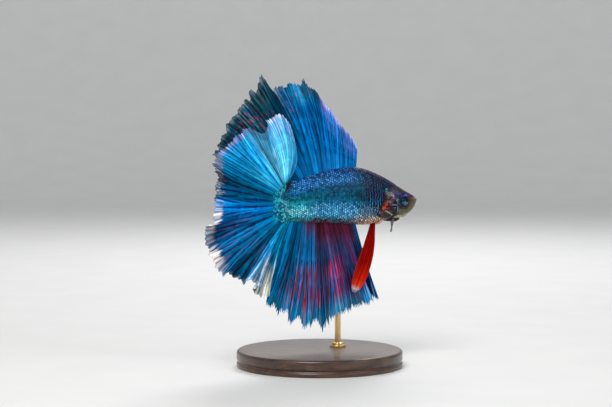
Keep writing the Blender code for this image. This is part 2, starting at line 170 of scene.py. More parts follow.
def skinPoint(station, around, lift):
    # a point over or under the body's surface, lift in mm, square to the surface's slope over a short nudge
    station, around = np.broadcast_arrays(np.asarray(station, float), np.asarray(around, float))
    nudge = 0.04
    share = nudge / 30  # about the same step, as a share of the girth
    safe = np.clip(station, 0.1, body["length"] - nudge)
    ahead = place(safe - nudge, *skinPlace(safe - nudge, around))
    behind = place(safe + nudge, *skinPlace(safe + nudge, around))
    left = place(safe, *skinPlace(safe, around + share))
    right = place(safe, *skinPlace(safe, around - share))
    normal = unit(np.cross(left - right, behind - ahead))
    return place(station, *skinPlace(station, around)) + normal * np.asarray(lift)[..., None] * mm


# Meshes from grids


def gridQuads(rows, columns, start=0, closed=False, flip=False):
    # the quads of a grid whose points start at a number; closed joins the last column to the first
    across = columns if closed else columns - 1
    i, j = np.meshgrid(np.arange(rows - 1), np.arange(across), indexing="ij")
    a = start + i * columns + j
    b = start + i * columns + (j + 1) % columns
    c = start + (i + 1) * columns + (j + 1) % columns
    d = start + (i + 1) * columns + j
    quads = np.stack([a, b, c, d] if not flip else [a, d, c, b], -1)
    return quads.reshape(-1, 4)


def sheetQuads(rows, columns, flip=False):
    # a grid, the same grid again as its other face, and strips that close the two round their border
    half = rows * columns
    index = np.arange(half).reshape(rows, columns)
    quads = [gridQuads(rows, columns, 0, flip=flip), gridQuads(rows, columns, half, flip=not flip)]
    borders = ((index[0], True), (index[-1], False), (index[:, 0], False), (index[:, -1], True))
    for border, turned in borders:
        strip = np.stack([border[:-1], border[1:], border[1:] + half, border[:-1] + half], -1)
        quads.append(strip if turned != flip else strip[:, ::-1])
    return np.concatenate(quads)


def makePiece(name, points, quads, facts=None, bake=None):
    # facts are named per-vertex numbers or vectors; bake is a UV pair for each corner of each quad
    points = np.asarray(points, np.float32).reshape(-1, 3)
    quads = np.asarray(quads, np.int32)
    mesh = bpy.data.meshes.new(name)
    mesh.vertices.add(len(points))
    mesh.vertices.foreach_set("co", points.ravel())
    mesh.loops.add(quads.size)
    mesh.loops.foreach_set("vertex_index", quads.ravel())
    mesh.polygons.add(len(quads))
    mesh.polygons.foreach_set("loop_start", np.arange(0, quads.size, 4, dtype=np.int32))
    mesh.update(calc_edges=True)
    mesh.shade_smooth()
    for key, values in (facts or {}).items():
        values = np.asarray(values, np.float32)
        vector = values.ndim > 1 and values.shape[-1] == 3
        layer = mesh.attributes.new(key, "FLOAT_VECTOR" if vector else "FLOAT", "POINT")
        layer.data.foreach_set("vector" if vector else "value", values.ravel())
    if bake is not None:
        mesh.uv_layers.new(name="OFBake").data.foreach_set("uv", np.asarray(bake, np.float32).ravel())
    mesh.validate()
    piece = bpy.data.objects.new(name, mesh)
    bpy.context.scene.collection.objects.link(piece)
    return piece


def finishPiece(piece, look, slot, *nodes):
    # gives a piece its look, and names the solids that it takes the place of
    piece.data.materials.append(look)
    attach(piece, "root")
    if nodes:
        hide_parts(*nodes)
    return piece


# Shader nodes


class Value:
    # one node output, so that shader maths reads as arithmetic
    def __init__(self, look, link):
        self.look = look
        self.link = link

    def maths(self, operation, *inputs):
        return self.look.node("ShaderNodeMath", {"operation": operation}, dict(enumerate(inputs)))

    def __add__(self, other):
        return self.maths("ADD", self, other)

    def __sub__(self, other):
        return self.maths("SUBTRACT", self, other)

    def __rsub__(self, other):
        return self.maths("SUBTRACT", other, self)

    def __mul__(self, other):
        return self.maths("MULTIPLY", self, other)

    def __truediv__(self, other):
        return self.maths("DIVIDE", self, other)

    def __pow__(self, other):
        return self.maths("POWER", self, other)

    def __abs__(self):
        return self.maths("ABSOLUTE", self)

    def atLeast(self, other):
        return self.maths("MAXIMUM", self, other)

    def sine(self):
        return self.maths("SINE", self)

    __radd__ = __add__
    __rmul__ = __mul__


class Look:
    # a material; node() makes any node from its type, its settings and its inputs
    def __init__(self, name, **constants):
        self.material = bpy.data.materials.new(name)
        self.material.use_nodes = True
        self.tree = self.material.node_tree
        self.shader = self.tree.nodes["Principled BSDF"]
        for key, value in constants.items():
            self.shader.inputs[key.replace("_", " ")].default_value = value

    def feed(self, socket, value):
        if isinstance(value, Value):
            self.tree.links.new(value.link, socket)
        elif isinstance(value, tuple) and socket.type == "RGBA":
            socket.default_value = (*value, 1.0)
        else:
            socket.default_value = value

    def node(self, kind, settings=None, inputs=None, output=0):
        made = self.tree.nodes.new(kind)
        for key, value in (settings or {}).items():
            if key == "stops":
                self.setStops(made.color_ramp, value)
            else:
                setattr(made, key, value)
        for key, value in (inputs or {}).items():
            self.feed(made.inputs[key], value)
        return Value(self, made.outputs[output])

    def setStops(self, ramp, stops):
        while len(ramp.elements) < len(stops):
            ramp.elements.new(0.5)
        for element, (position, colour) in zip(ramp.elements, stops):
            element.position = position
            element.color = (*colour, 1.0)

    def ramp(self, value, stops):
        return self.node("ShaderNodeValToRGB", {"stops": stops}, {"Fac": value})

    def mix(self, amount, a, b, blend="MIX"):
        settings = {"data_type": "RGBA", "blend_type": blend, "clamp_factor": True}
        return self.node("ShaderNodeMix", settings, {0: amount, 6: a, 7: b}, 2)

    def shade(self, colour, light):
        # makes a colour darker or lighter by a number
        return self.mix(1.0, colour, self.join(light, light, light), "MULTIPLY")

    def fact(self, name, output=2):
        # a number kept on the mesh; output 1 reads a vector
        return self.node("ShaderNodeAttribute", {"attribute_name": name}, None, output)

    def split(self, vector):
        return [self.node("ShaderNodeSeparateXYZ", None, {0: vector}, i) for i in range(3)]

    def join(self, x, y, z):
        return self.node("ShaderNodeCombineXYZ", None, {0: x, 1: y, 2: z})

    def noise(self, vector, scale, detail=2.0, roughness=0.5):
        inputs = {"Vector": vector, "Scale": scale, "Detail": detail, "Roughness": roughness}
        return self.node("ShaderNodeTexNoise", None, inputs)

    def spread(self, value, low, high, toLow=0.0, toHigh=1.0):
        # maps low..high smoothly to toLow..toHigh
        inputs = {"Value": value, 1: low, 2: high, 3: toLow, 4: toHigh}
        return self.node("ShaderNodeMapRange", {"interpolation_type": "SMOOTHSTEP"}, inputs)

    def between(self, value, low, high, soft):
        # 1 between low and high, fading out softly round both
        return self.spread(value, low - soft, low + soft) * self.spread(value, high - soft, high + soft, 1, 0)

    def spot(self, x, y, centre, size, soft=0.35):
        # 1 inside an oval, fading out over soft of its size
        far = (((x - centre[0]) / size[0]) ** 2 + ((y - centre[1]) / size[1]) ** 2) ** 0.5
        return self.spread(far, 1 - soft, 1 + soft, 1, 0)

    def bump(self, height, strength, distance):
        inputs = {"Strength": strength, "Distance": distance, "Height": height}
        return self.node("ShaderNodeBump", None, inputs)

    def finish(self, **inputs):
        for key, value in inputs.items():
            self.feed(self.shader.inputs[key.replace("_", " ")], value)
        return self.material


# Markings: the skin and the scales are painted by the same functions

flankPaint = {
    # down the flank from the back (0) to the belly (1), at the front, the middle and the tail
    "front": (
        (0.0, (0.12, 0.07, 0.1)), (0.1, (0.06, 0.05, 0.11)), (0.22, (0.013, 0.017, 0.06)),
        (0.3, (0.005, 0.008, 0.028)), (0.42, (0.002, 0.007, 0.022)), (0.56, (0.001, 0.02, 0.05)),
        (0.65, (0.006, 0.07, 0.17)), (0.74, (0.03, 0.2, 0.38)), (0.8, (0.2, 0.26, 0.3)),
        (0.86, (0.6, 0.34, 0.22)), (1.0, (0.62, 0.24, 0.12)),
    ),
    "middle": (
        (0.0, (0.02, 0.07, 0.24)), (0.1, (0.025, 0.14, 0.48)), (0.22, (0.012, 0.17, 0.5)),
        (0.3, (0.005, 0.1, 0.3)), (0.38, (0.0, 0.08, 0.165)), (0.52, (0.0, 0.095, 0.19)),
        (0.6, (0.004, 0.2, 0.42)), (0.67, (0.02, 0.34, 0.72)), (0.76, (0.07, 0.5, 0.98)),
        (0.84, (0.03, 0.38, 0.66)), (0.91, (0.02, 0.17, 0.24)), (1.0, (0.1, 0.006, 0.016)),
    ),
    "tail": (
        (0.0, (0.005, 0.11, 0.4)), (0.15, (0.01, 0.2, 0.64)), (0.28, (0.005, 0.19, 0.56)),
        (0.38, (0.0, 0.13, 0.26)), (0.49, (0.0, 0.2, 0.26)), (0.57, (0.012, 0.4, 0.52)),
        (0.65, (0.03, 0.76, 0.98)), (0.75, (0.26, 0.92, 1.05)), (0.84, (0.03, 0.66, 0.82)),
        (0.92, (0.01, 0.34, 0.42)), (1.0, (0.005, 0.2, 0.26)),
    ),
    "middleFrom": (18, 26.5),  # stations over which the front colours give way to the middle ones
    "tailFrom": (33, 41),
    "rootSpots": (0.16, 0.012, 0.03),
    "shoulderSpots": (0.12, 0.022, 0.025),
    "greenDrift": (0.0, 0.2, 0.3),
    "stalkBack": (0.0, 0.09, 0.16),
    "stalkFlank": (0.0, 0.24, 0.32),
    "shadow": (0.002, 0.003, 0.01),
}
headPaint = {
    "crown": ((0.14, 0.08, 0.1), (0.15, 0.11, 0.2)),  # at the snout and at the nape
    "side": (0.04, 0.03, 0.05),
    "napeLine": (0.34, 0.18, 0.24),
}
coverEdge = (  # rear margin of the gill cover: (height, station)
    (-6.6, 11.4), (-6.0, 13.4), (-5.2, 14.8), (-4.2, 15.5), (-3.2, 15.4), (-2.2, 14.9), (-1.0, 14.3),
    (0.4, 14.0), (2.0, 13.85), (3.0, 13.4), (3.8, 12.5),
)
cheekRidge = ((-5.2, 6.9), (-4.4, 8.3), (-2.8, 9.05), (-0.6, 9.15), (1.2, 8.8))  # (height, station)
headMarks = (
    # a path of (station, height), its half width, how soft its edge is, colour, strength; the freckles
    # darken these colours, so the brightest are over 1
    (((0.0, 0.0), (1.6, -0.9)), 1.4, 1.2, (0.42, 0.27, 0.25), 1.0),
    # a painted highlight on the rim of the snout
    (((0.2, 0.1), (0.9, 0.15)), 0.45, 0.5, (0.95, 0.8, 0.95), 0.9),
    (((3.2, -1.0), (2.8, -2.4)), 1.1, 1.2, (0.2, 0.13, 0.1), 1.0),
    (((2.2, -2.2), (4.4, -3.6), (7.2, -4.3)), 1.2, 1.2, (0.32, 0.29, 0.16), 1.0),
    (((2.8, -4.6), (5.6, -5.5), (8.6, -5.9)), 0.55, 0.6, (1.1, 1.05, 0.68), 0.95),
    (((6.4, -0.2), (5.8, -1.4)), 1.9, 1.0, (0.006, 0.014, 0.03), 1.0),
    (((7.4, -0.6), (7.3, -2.0)), 0.6, 0.8, (0.01, 0.08, 0.14), 0.95),
    # painted shadow along the front rim of the eye socket
    (((4.7, -0.3), (4.5, -1.4)), 0.35, 0.4, (0.002, 0.002, 0.004), 0.9),
    (((4.9, 0.75), (6.7, 0.9)), 0.5, 0.5, (0.01, 0.02, 0.06), 1.0),
    (((4.8, 1.05), (6.0, 0.95)), 0.26, 0.4, (0.2, 0.4, 2.2), 1.0),
    (((5.9, 0.9), (7.0, 0.6)), 0.22, 0.4, (0.08, 0.28, 1.1), 0.9),
    (((7.3, 1.8), (7.9, 1.5)), 0.3, 0.5, (0.25, 0.1, 1.0), 0.9),
    (((9.1, 1.9), (9.25, 0.2)), 0.8, 0.8, (0.12, 0.2, 0.42), 1.0),
    (((11.6, 4.0), (12.4, 3.0)), 0.7, 0.7, (0.05, 0.035, 0.07), 0.8),
    (((12.3, 1.7), (12.5, 0.9)), 0.75, 0.8, (0.36, 0.42, 0.36), 1.0),
    (((11.1, 1.9), (10.6, 1.0), (10.75, 0.0)), 0.4, 0.7, (1.2, 1.0, 1.45), 1.0),
    (((10.2, -0.3), (11.4, -1.5)), 0.8, 1.0, (0.2, 0.14, 0.3), 1.0),
    (((9.9, -1.3), (10.2, -3.2)), 0.75, 0.6, (0.004, 0.004, 0.012), 1.0),
    (((11.0, -2.2), (12.3, -2.3)), 0.35, 0.5, (0.03, 0.02, 0.05), 0.95),
    (((9.8, -3.9), (13.0, -4.6), (14.6, -4.3)), 0.8, 0.9, (0.16, 0.09, 0.1), 1.0),
    (((12.4, -4.7), (13.9, -4.6)), 0.4, 0.7, (0.3, 0.09, 0.03), 0.8),
    (((14.1, -3.9), (15.3, -3.9)), 0.45, 0.6, (0.42, 0.28, 0.36), 1.0),
    (((9.6, -4.0), (10.6, -4.9)), 0.45, 0.6, (0.02, 0.016, 0.016), 0.95),
    (((10.6, -5.8), (12.6, -6.1), (13.9, -5.7)), 0.32, 0.5, (0.32, 0.35, 0.3), 0.9),
    (((9.1, -0.1), (9.0, -1.3), (8.8, -3.2), (8.5, -4.6)), 0.1, 0.26, (0.75, 0.8, 0.9), 0.85),
    (((8.4, -0.2), (9.4, -0.3)), 0.05, 0.16, (0.8, 0.85, 1.0), 0.9),
    (((8.3, -0.8), (9.3, -0.85)), 0.05, 0.16, (0.8, 0.85, 1.0), 0.9),
    (((8.2, -1.4), (9.2, -1.4)), 0.05, 0.16, (0.6, 0.75, 0.9), 0.9),
    (((8.3, -2.6), (9.1, -2.5)), 0.05, 0.16, (0.6, 0.65, 0.8), 0.8),
    (((8.35, -1.7), (8.0, -4.2)), 0.2, 0.4, (0.02, 0.28, 0.45), 0.95),
    (((9.3, -1.85), (10.9, -1.8)), 0.09, 0.2, (1.2, 1.1, 1.5), 0.95),
    (((9.4, -2.75), (10.6, -2.7)), 0.06, 0.2, (0.6, 0.55, 0.8), 0.8),
    (((10.4, -4.9), (11.9, -4.1), (13.4, -3.6)), 0.16, 0.36, (0.9, 0.82, 1.0), 0.95),
    (((10.9, 0.05), (12.0, -0.2), (13.2, -0.8), (13.9, -1.3)), 0.5, 0.8, (0.4, 0.06, 0.03), 0.6),
    (((11.0, 0.0), (12.0, -0.3)), 0.12, 0.3, (1.6, 0.25, 0.08), 0.9),
    (((12.6, -0.55), (13.5, -1.05)), 0.22, 0.35, (1.7, 0.2, 0.03), 1.0),
    (((11.1, -0.85), (11.9, -0.85)), 0.2, 0.3, (0.03, 0.9, 1.3), 0.9),
    (((11.6, -1.75), (12.1, -1.75)), 0.13, 0.3, (0.75, 0.02, 0.02), 0.9),
    (((12.9, -1.6), (13.5, -2.1), (14.0, -2.5)), 0.3, 0.35, (2.1, 0.2, 0.03), 1.0),
    (((13.3, -2.5), (14.4, -3.0)), 0.24, 0.35, (2.1, 0.16, 0.03), 1.0),
    (((11.7, -2.75), (12.9, -2.8), (14.0, -2.9)), 0.13, 0.25, (1.9, 0.1, 0.03), 0.95),
    (((13.1, 3.3), (13.2, 2.5)), 0.22, 0.35, (0.0, 1.4, 1.5), 1.0),
    (((5.4, -2.85), (6.4, -2.75)), 0.14, 0.35, (0.55, 0.14, 0.02), 0.8),
)


def paintFlank(look, station, height, down, past):
    # down runs from the back (0) to the belly (1), and past is the distance behind the gill cover
    paint = flankPaint
    front, middle, tail = (look.ramp(down, paint[part]) for part in ("front", "middle", "tail"))
    colour = look.mix(look.spread(station, *paint["middleFrom"]), front, middle)
    colour = look.mix(look.spread(station, *paint["tailFrom"]), colour, tail)
    where = look.join(station, down * 22, 0.0)
    # dark red spots along the root of the anal fin, and russet ones on the shoulder
    blotch = look.spread(look.noise(where, 0.75, 1.0), 0.5, 0.6)
    row = look.between(station, 20, 40, 2.0) * look.between(down, 0.86, 0.98, 0.03)
    colour = look.mix(blotch * row, colour, paint["rootSpots"])
    shoulder = look.spot(station, height, (17.4, 4.9), (2.6, 0.8), 0.6)
    colour = look.mix(blotch * shoulder, colour, paint["shoulderSpots"])
    # slow drifts between violet and green in the blue
    drift = look.spread(look.noise(where, 0.16, 1.0), 0.4, 0.62)
    colour = look.mix(drift * 0.25, colour, paint["greenDrift"])
    # the stalk's end takes the colours of the tail fin's root
    end = look.spread(station, 41.6, 44.0)
    colour = look.mix(end * look.between(down, 0.1, 0.4, 0.05) * 0.9, colour, paint["stalkBack"])
    colour = look.mix(end * look.spread(down, 0.38, 0.46) * 0.8, colour, paint["stalkFlank"])
    # painted shadow on the flank where it comes out from under the gill cover, and at the hind end of the
    # dorsal's root
    coverShadow = look.spread(past, 0.9, 3.0, 0.93, 0) * look.between(height, -4.8, 2.2, 1.0)
    dorsalEndShadow = look.spot(station, height, (43.3, 4.7), (1.7, 1.3), 0.4)
    return look.mix(coverShadow + dorsalEndShadow, colour, paint["shadow"])


def paintHead(look, station, height, down):
    where = look.join(station, height, 0.0)
    crown = look.mix(look.spread(station, 2, 12), *headPaint["crown"])
    colour = look.mix(look.spread(down, 0.3, 0.5), crown, headPaint["side"])
    broken = look.noise(look.join(station * 1.3, height, 8.0), 3.2, 3.0, 0.6)
    cover = look.fact("markCover") * look.spread(broken, 0.36, 0.58, 0.7, 1.05)
    colour = look.mix(cover, colour, look.fact("markPaint", 1))
    # freckles in long drifts, each scale with a tone of its own and a dark seam
    streak = look.noise(look.join(station * 2.6, height * 0.8, 4.0), 1.3, 3.0, 0.6)
    freckle = look.spread(look.noise(where, 5.0, 4.0, 0.6), 0.36, 0.64, 0.2, 0.52)
    freckle = freckle * look.spread(streak, 0.35, 0.65, 0.6, 1.25)
    freckle = freckle * look.spread(look.fact("chance"), 0.0, 1.0, 0.75, 1.55)
    freckle = freckle * look.spread(look.fact("seam"), 0.1, 0.9, 1.05, 0.25)
    # a pale pinkish line runs along the ridge of the nape
    ridge = look.spread(down, 0.02, 0.09, 0.7, 0) * look.spread(station, 1.5, 5)
    colour = look.mix(ridge, colour, headPaint["napeLine"])
    return look.shade(colour, freckle)


# Skin

skin = {  # lengths in mm
    "inset": 0.13,  # how far the skin lies under the outline, so that the scales stand out to it
    "headRings": 190,
    "headLength": 16.5,
    "bodyRings": 76,
    "sides": 340,
    "capRings": 6,
    "snoutBulge": 0.22,
    "eye": (5.95, -0.85),  # places on the head are (station, height)
    "eyeRadius": 1.5,
    "socketDepth": 0.9,
    "mouth": ((-0.4, 0.15), (0.35, -0.1), (1.2, -0.85), (2.0, -1.85), (2.45, -2.6)),
    "mouthFade": (2.6, 3.9),  # how far back the lips run before they fade out
    "jawLine": ((2.45, -2.6), (4.0, -3.75), (5.6, -4.6), (8.1, -5.3)),
    "nostrils": ((2.35, 0.62, 0.13), (3.45, 1.25, 0.16)),  # with the radius
    "cheekBone": ((1.6, -1.2), (3.4, -2.9), (6.0, -3.3)),
    "beadPitch": 0.62,
    "barPitch": 0.75,
    "barHeight": 0.05,
    "coverSeam": ((9.6, 1.9), (10.0, -0.6), (11.2, -2.6), (13.6, -3.6)),
    "throatRays": (((13.4, -3.9), (9.4, -5.4)), ((13.9, -4.7), (9.9, -6.0)), ((12.9, -3.4), (9.4, -4.7))),
    "tailTaper": 0.5,  # how far the sides draw in before the tail fin
    "breast": 0.8,  # how far the breast swells
    "seed": 2,
}


def pathDistance(path, s, z):
    # distance to a bent line, and how far along it the nearest point lies
    best = np.full(np.shape(s), np.inf)
    where = np.zeros(np.shape(s))
    run = 0.0
    for (startS, startZ), (endS, endZ) in zip(path, path[1:]):
        stepS, stepZ = endS - startS, endZ - startZ
        length = math.hypot(stepS, stepZ)
        u = np.clip(((s - startS) * stepS + (z - startZ) * stepZ) / length**2, 0, 1)
        away = np.hypot(s - startS - u * stepS, z - startZ - u * stepZ)
        where = np.where(away < best, run + u * length, where)
        best = np.minimum(best, away)
        run += length
    return best, where


headForms = {
    # height of each ridge or hollow, how far it stands off its line, and its width
    "eyeRim": (0.1, 0.28, 0.16),
    "eyeFold": (-0.05, 0.7, 0.25),
    "lip": (0.12, 0.4, 0.26),
    "mouth": (-0.26, 0.0, 0.1),
    "jaw": (-0.07, 0.0, 0.12),
    "cheekBone": (0.05, 0.0, 0.45),
    "beads": (0.11, 0.0, 0.15),
    "behindBeads": (-0.07, 0.4, 0.2),
    "coverSeam": (-0.07, 0.0, 0.14),
    "coverFlange": (0.2, 0.0, 1.6),
    "gillSlit": (-0.4, 0.12, 0.42),
    "throatRay": (0.07, 0.0, 0.15),
}


def form(name, distance):
    height, off, width = headForms[name]
    return height * hump(distance - off, width)


def bodyRelief(s, around, side):
    # the sides draw in towards the tail fin, and the breast swells before the pelvic fins
    down = 1 - np.abs(2 * (around % 1) - 1)
    taper = skin["tailTaper"] * rise(s, 40.5, 45.2) * rise(np.abs(side), 0.1, 0.6)
    return skin["breast"] * hump(s - 13.9, 1.5) * rise(down, 0.8, 0.97) - taper


cheekScales = {
    # small scales shingled backwards over the cheek, the gill cover and the crown
    "pitch": 0.6,
    "rowPitch": 0.64,
    "length": 0.8,
    "halfWidth": 0.42,
    "lift": 0.1,  # how far each one's hind end stands up
    "bareRing": 0.6,  # skin left bare round the eye
    "finest": 0.2,  # marks with a smaller half width run over the scales
}


def cheekScale(s, z):
    # for the scale on top at each point: its middle, how far back along it the point lies, how near its
    # rim (1 on it), and how much of the head's scaling is there
    length, halfWidth, bareRing = (cheekScales[part] for part in ("length", "halfWidth", "bareRing"))
    middleS, middleZ, back, rim = s + 0, z + 0, 0 * s, 0 * s + 1
    found = np.zeros(s.shape, bool)
    for ahead in (1, 0, -1):
        column = np.floor(s / cheekScales["pitch"]) - ahead
        shift = 0.5 * (column % 2)
        rootS = column * cheekScales["pitch"]
        rootZ = (np.round(z / cheekScales["rowPitch"] - shift) + shift) * cheekScales["rowPitch"]
        away = np.hypot((s - rootS) / length, (z - rootZ) / halfWidth)
        top = (away < 1) & ~found
        middleS = np.where(top, rootS + length / 2, middleS)
        middleZ = np.where(top, rootZ, middleZ)
        back = np.where(top, (s - rootS) / length, back)
        rim = np.where(top, away, rim)
        found |= top
    fromEye = np.hypot(s - skin["eye"][0], z - skin["eye"][1]) - skin["eyeRadius"]
    there = rise(s + 0.35 * z, 5.2, 7.2) * rise(fromEye, bareRing, bareRing + 0.5)
    there = there * (1 - rise(s - along(coverEdge, z), -0.4, 0.0)) * rise(z, -6.0, -5.2)
    return middleS, middleZ, back, rim, there


def headRelief(s, z, side):
    # how far the head's skin stands out, at station s and height z
    back, rim, there = cheekScale(s, z)[2:]
    lift = cheekScales["lift"] * there * (back - 0.4 * rise(rim, 0.75, 1.0))
    onSide = rise(np.abs(side), 0.5, 1.2)
    # eye socket, its rim and the soft fold round it
    fromEye = np.hypot(s - skin["eye"][0], z - skin["eye"][1]) - skin["eyeRadius"]
    lift += onSide * (form("eyeRim", fromEye) + form("eyeFold", fromEye))
    lift -= onSide * skin["socketDepth"] * (1 - rise(fromEye, -0.22, 0.1))
    # mouth, lips and jaw
    away, run = pathDistance(skin["mouth"], s, z)
    lift += (form("lip", away) + form("mouth", away)) * (1 - rise(run, *skin["mouthFade"]))
    lift += onSide * form("jaw", pathDistance(skin["jawLine"], s, z)[0])
    for nostrilS, nostrilZ, size in skin["nostrils"]:
        away = np.hypot(s - nostrilS, z - nostrilZ)
        lift += onSide * (0.06 * hump(away - size * 1.7, size * 0.6) - 0.25 * hump(away, size))
    # bone between the eye and the lip
    lift += onSide * form("cheekBone", pathDistance(skin["cheekBone"], s, z)[0])
    # beaded ridge down the cheek
    onRidge = s - along(cheekRidge, z)
    tall = rise(z, -5.4, -4.6) * (1 - rise(z, 0.8, 1.4))
    beads = 0.6 + 0.4 * np.cos(z * 2 * math.pi / skin["beadPitch"])
    lift += tall * onSide * (form("beads", onRidge) * beads + form("behindBeads", onRidge))
    # low bars between that ridge and the gill cover
    bars = hump(s - 10.0, 0.9) * rise(z, -4.2, -3.6) * (1 - rise(z, -1.4, -0.8))
    lift += skin["barHeight"] * bars * np.cos((z + 0.12 * s) * 2 * math.pi / skin["barPitch"])
    # plates of the gill cover, parted by a shallow line
    lift += onSide * form("coverSeam", pathDistance(skin["coverSeam"], s, z)[0])
    # gill cover: a flange that ends in a lip over the gill slit
    past = s - along(coverEdge, z)
    tall = rise(z, -6.9, -6.0) * (1 - rise(z, 3.0, 3.8))
    lift += tall * np.where(past < 0, form("coverFlange", past), form("gillSlit", past))
    # rays of the throat, under the cover
    for throatRay in skin["throatRays"]:
        lift += onSide * form("throatRay", pathDistance(throatRay, s, z)[0])
    return lift


def ripples(rng, s, z, finest, height):
    return sum(height * np.sin(s * a + z * b + c) for a, b, c in rng.uniform(-finest, finest, (8, 3)))


def markHead(s, z, side):
    # colour and cover of the marks that lie over one another on the head, from first to last
    paint = np.zeros((*s.shape, 3))
    cover = np.zeros(s.shape)
    rng = np.random.default_rng(skin["seed"])
    ripple = ripples(rng, s, z, 11, 0.06)
    ripple = ripple + ripples(rng, s, z, 24, 0.035)
    middleS, middleZ, _, _, there = cheekScale(s, z)
    for path, halfWidth, soft, colour, strength in headMarks:
        away = pathDistance(path, s, z)[0]
        if halfWidth >= cheekScales["finest"]:
            # a broad mark takes whole scales
            away = np.where(there > 0.5, pathDistance(path, middleS, middleZ)[0], away)
        away = away + ripple * min(1, halfWidth * 2)
        mark = strength * (1 - rise(away, halfWidth - soft / 2, halfWidth + soft / 2))
        paint = paint * (1 - mark[..., None]) + np.array(colour) * mark[..., None]
        cover = cover * (1 - mark) + mark
    return paint / np.maximum(cover, 1e-3)[..., None], cover * rise(np.abs(side), 0.2, 0.9)


def buildSkin(look):
    headRings = np.linspace(0.0, skin["headLength"], skin["headRings"])
    bodyRings = np.linspace(skin["headLength"], body["length"], skin["bodyRings"] + 1)[1:]
    rings = np.concatenate([headRings, bodyRings])
    around = np.arange(skin["sides"] + 1) / skin["sides"]
    station, share = np.meshgrid(rings, around, indexing="ij")
    height, side = skinPlace(station, share)
    lift = np.where(station < skin["headLength"] + 2, headRelief(station, height, side), 0)
    lift = lift + bodyRelief(station, share, side) - skin["inset"]
    points = skinPoint(station, share, lift)
    # both ends close over rings that shrink to a point
    caps = []
    for end, bulge, order in ((0, skin["snoutBulge"], 1), (-1, -0.1, -1)):
        middle = points[end].mean(0)
        outwards = unit(place(rings[end] - 1.0, 0, 0) - place(rings[end], 0, 0)) * mm
        cap = []
        for size in np.linspace(0.02, 1, skin["capRings"] + 1)[:-1][::order]:
            cap.append(middle + (points[end] - middle) * size + outwards * bulge * math.sqrt(1 - size**2))
        caps.append(np.array(cap))
    points = np.concatenate([caps[0], points, caps[1]])
    rows = len(points)
    pad = ((skin["capRings"], skin["capRings"]), (0, 0))
    station, height, side, share = (np.pad(a, pad, mode="edge") for a in (station, height, side, share))
    quads = gridQuads(rows, skin["sides"] + 1)
    u = np.linspace(0.01, 0.99, rows)[:, None] + np.zeros_like(share)
    corner = np.stack([u, 0.01 + 0.98 * share], -1).reshape(-1, 2)
    paint, cover = markHead(station, height, side)
    middleS, middleZ, _, rim, there = cheekScale(station, height)
    # a number between 0 and 1 for each cheek scale, which only looks like chance
    chance = np.sin(middleS * 127.1 + middleZ * 311.7) * 0.5 + 0.5
    facts = {
        "fishPlace": np.stack([station, height, side], -1).reshape(-1, 3),
        "down": (1 - np.abs(2 * share - 1)).ravel(),
        "past": (station - along(coverEdge, height)).ravel(),
        "markPaint": paint.reshape(-1, 3),
        "markCover": cover.ravel(),
        "seam": (there * rise(rim, 0.7, 1.0)).ravel(),
        "chance": np.where(there > 0.5, chance, 0.5).ravel(),
    }
    piece = makePiece("skin", points, quads, facts, corner[quads])
    weld = piece.modifiers.new("Seam", "WELD")
    weld.merge_threshold = 0.002 * mm
    return finishPiece(piece, look, "skin", "head", "jaw_lower", "gill_cover_left", "gill_cover_right",
                       "trunk_front", "trunk_rear", "tail_stalk")


# Scales

scales = {
    "firstStation": 7.4,
    "lastStation": 45.0,
    "pitch": 0.64,
    "rows": 22,  # round half the girth
    "split": 24.0,  # station where the front pieces end and the hind ones begin
    "length": 1.65,  # length and width are shares of the pitch
    "width": 1.08,
    "straight": 0.36,  # share of a scale's length before it rounds off
    "rootDepth": -0.1,  # over the body's outline, as the next three are
    "tipDepth": 0.02,
    "crown": 0.03,
    "skirt": -0.14,  # the turned-down edge
    "unevenSize": 0.04,
    "unevenDepth": 0.008,
    "unevenPlace": 0.06,
    "frontRows": 3,
    "hindRows": 7,
    "across": 9,
    "patch": 0.003,  # the size of one scale's patch of the UV map
    "seed": 11,
}


def scaleRoots():
    # (station, share of the girth) of every scale, in rows that lie half a scale apart by turns
    roots = []
    perRing = 2 * scales["rows"]
    column = 0
    station = scales["firstStation"]
    while station < scales["lastStation"]:
        shift = 0.5 * (column % 2)
        for row in range(perRing):
            around = ((row + shift) / perRing) % 1
            height = float(skinPlace(np.array(station), np.array(around))[0])
            down = 1 - abs(2 * around - 1)
            behindCover = station > float(along(coverEdge, height)) + 0.15
            onNape = down < 0.34 and station > scales["firstStation"] + 14 * down
            onBreast = down > 0.9 and station > 12.6
            onFlank = behindCover and height < 3.6 and (height > -6.2 or onBreast or station > 14.5)
            aboveCover = onNape and (height > 3.0 or behindCover)
            if onFlank or aboveCover:
                roots.append((station, around))
        station += scales["pitch"]
        column += 1
    return np.array(roots)


def scaleShape():
    # one scale's grid: u from root to tip, v across, half its width there, and 1 on the turned-down edge
    straight = scales["straight"]
    front = np.linspace(0, straight, scales["frontRows"], endpoint=False)
    turn = np.linspace(0, math.radians(84), scales["hindRows"])
    u = np.concatenate([front, straight + (1 - straight) * np.sin(turn), [1.0]])
    half = np.concatenate([0.86 + 0.14 * front / straight, np.cos(turn), [math.cos(turn[-1])]])
    v = np.sin(np.linspace(-math.pi / 2, math.pi / 2, scales["across"]))
    v = np.concatenate([[-1.0], v, [1.0]])
    edge = np.zeros((len(u), len(v)))
    edge[:, 0] = edge[:, -1] = edge[-1] = 1
    u, v = np.meshgrid(u, v, indexing="ij")
    return u, v, half[:, None] + 0 * u, edge


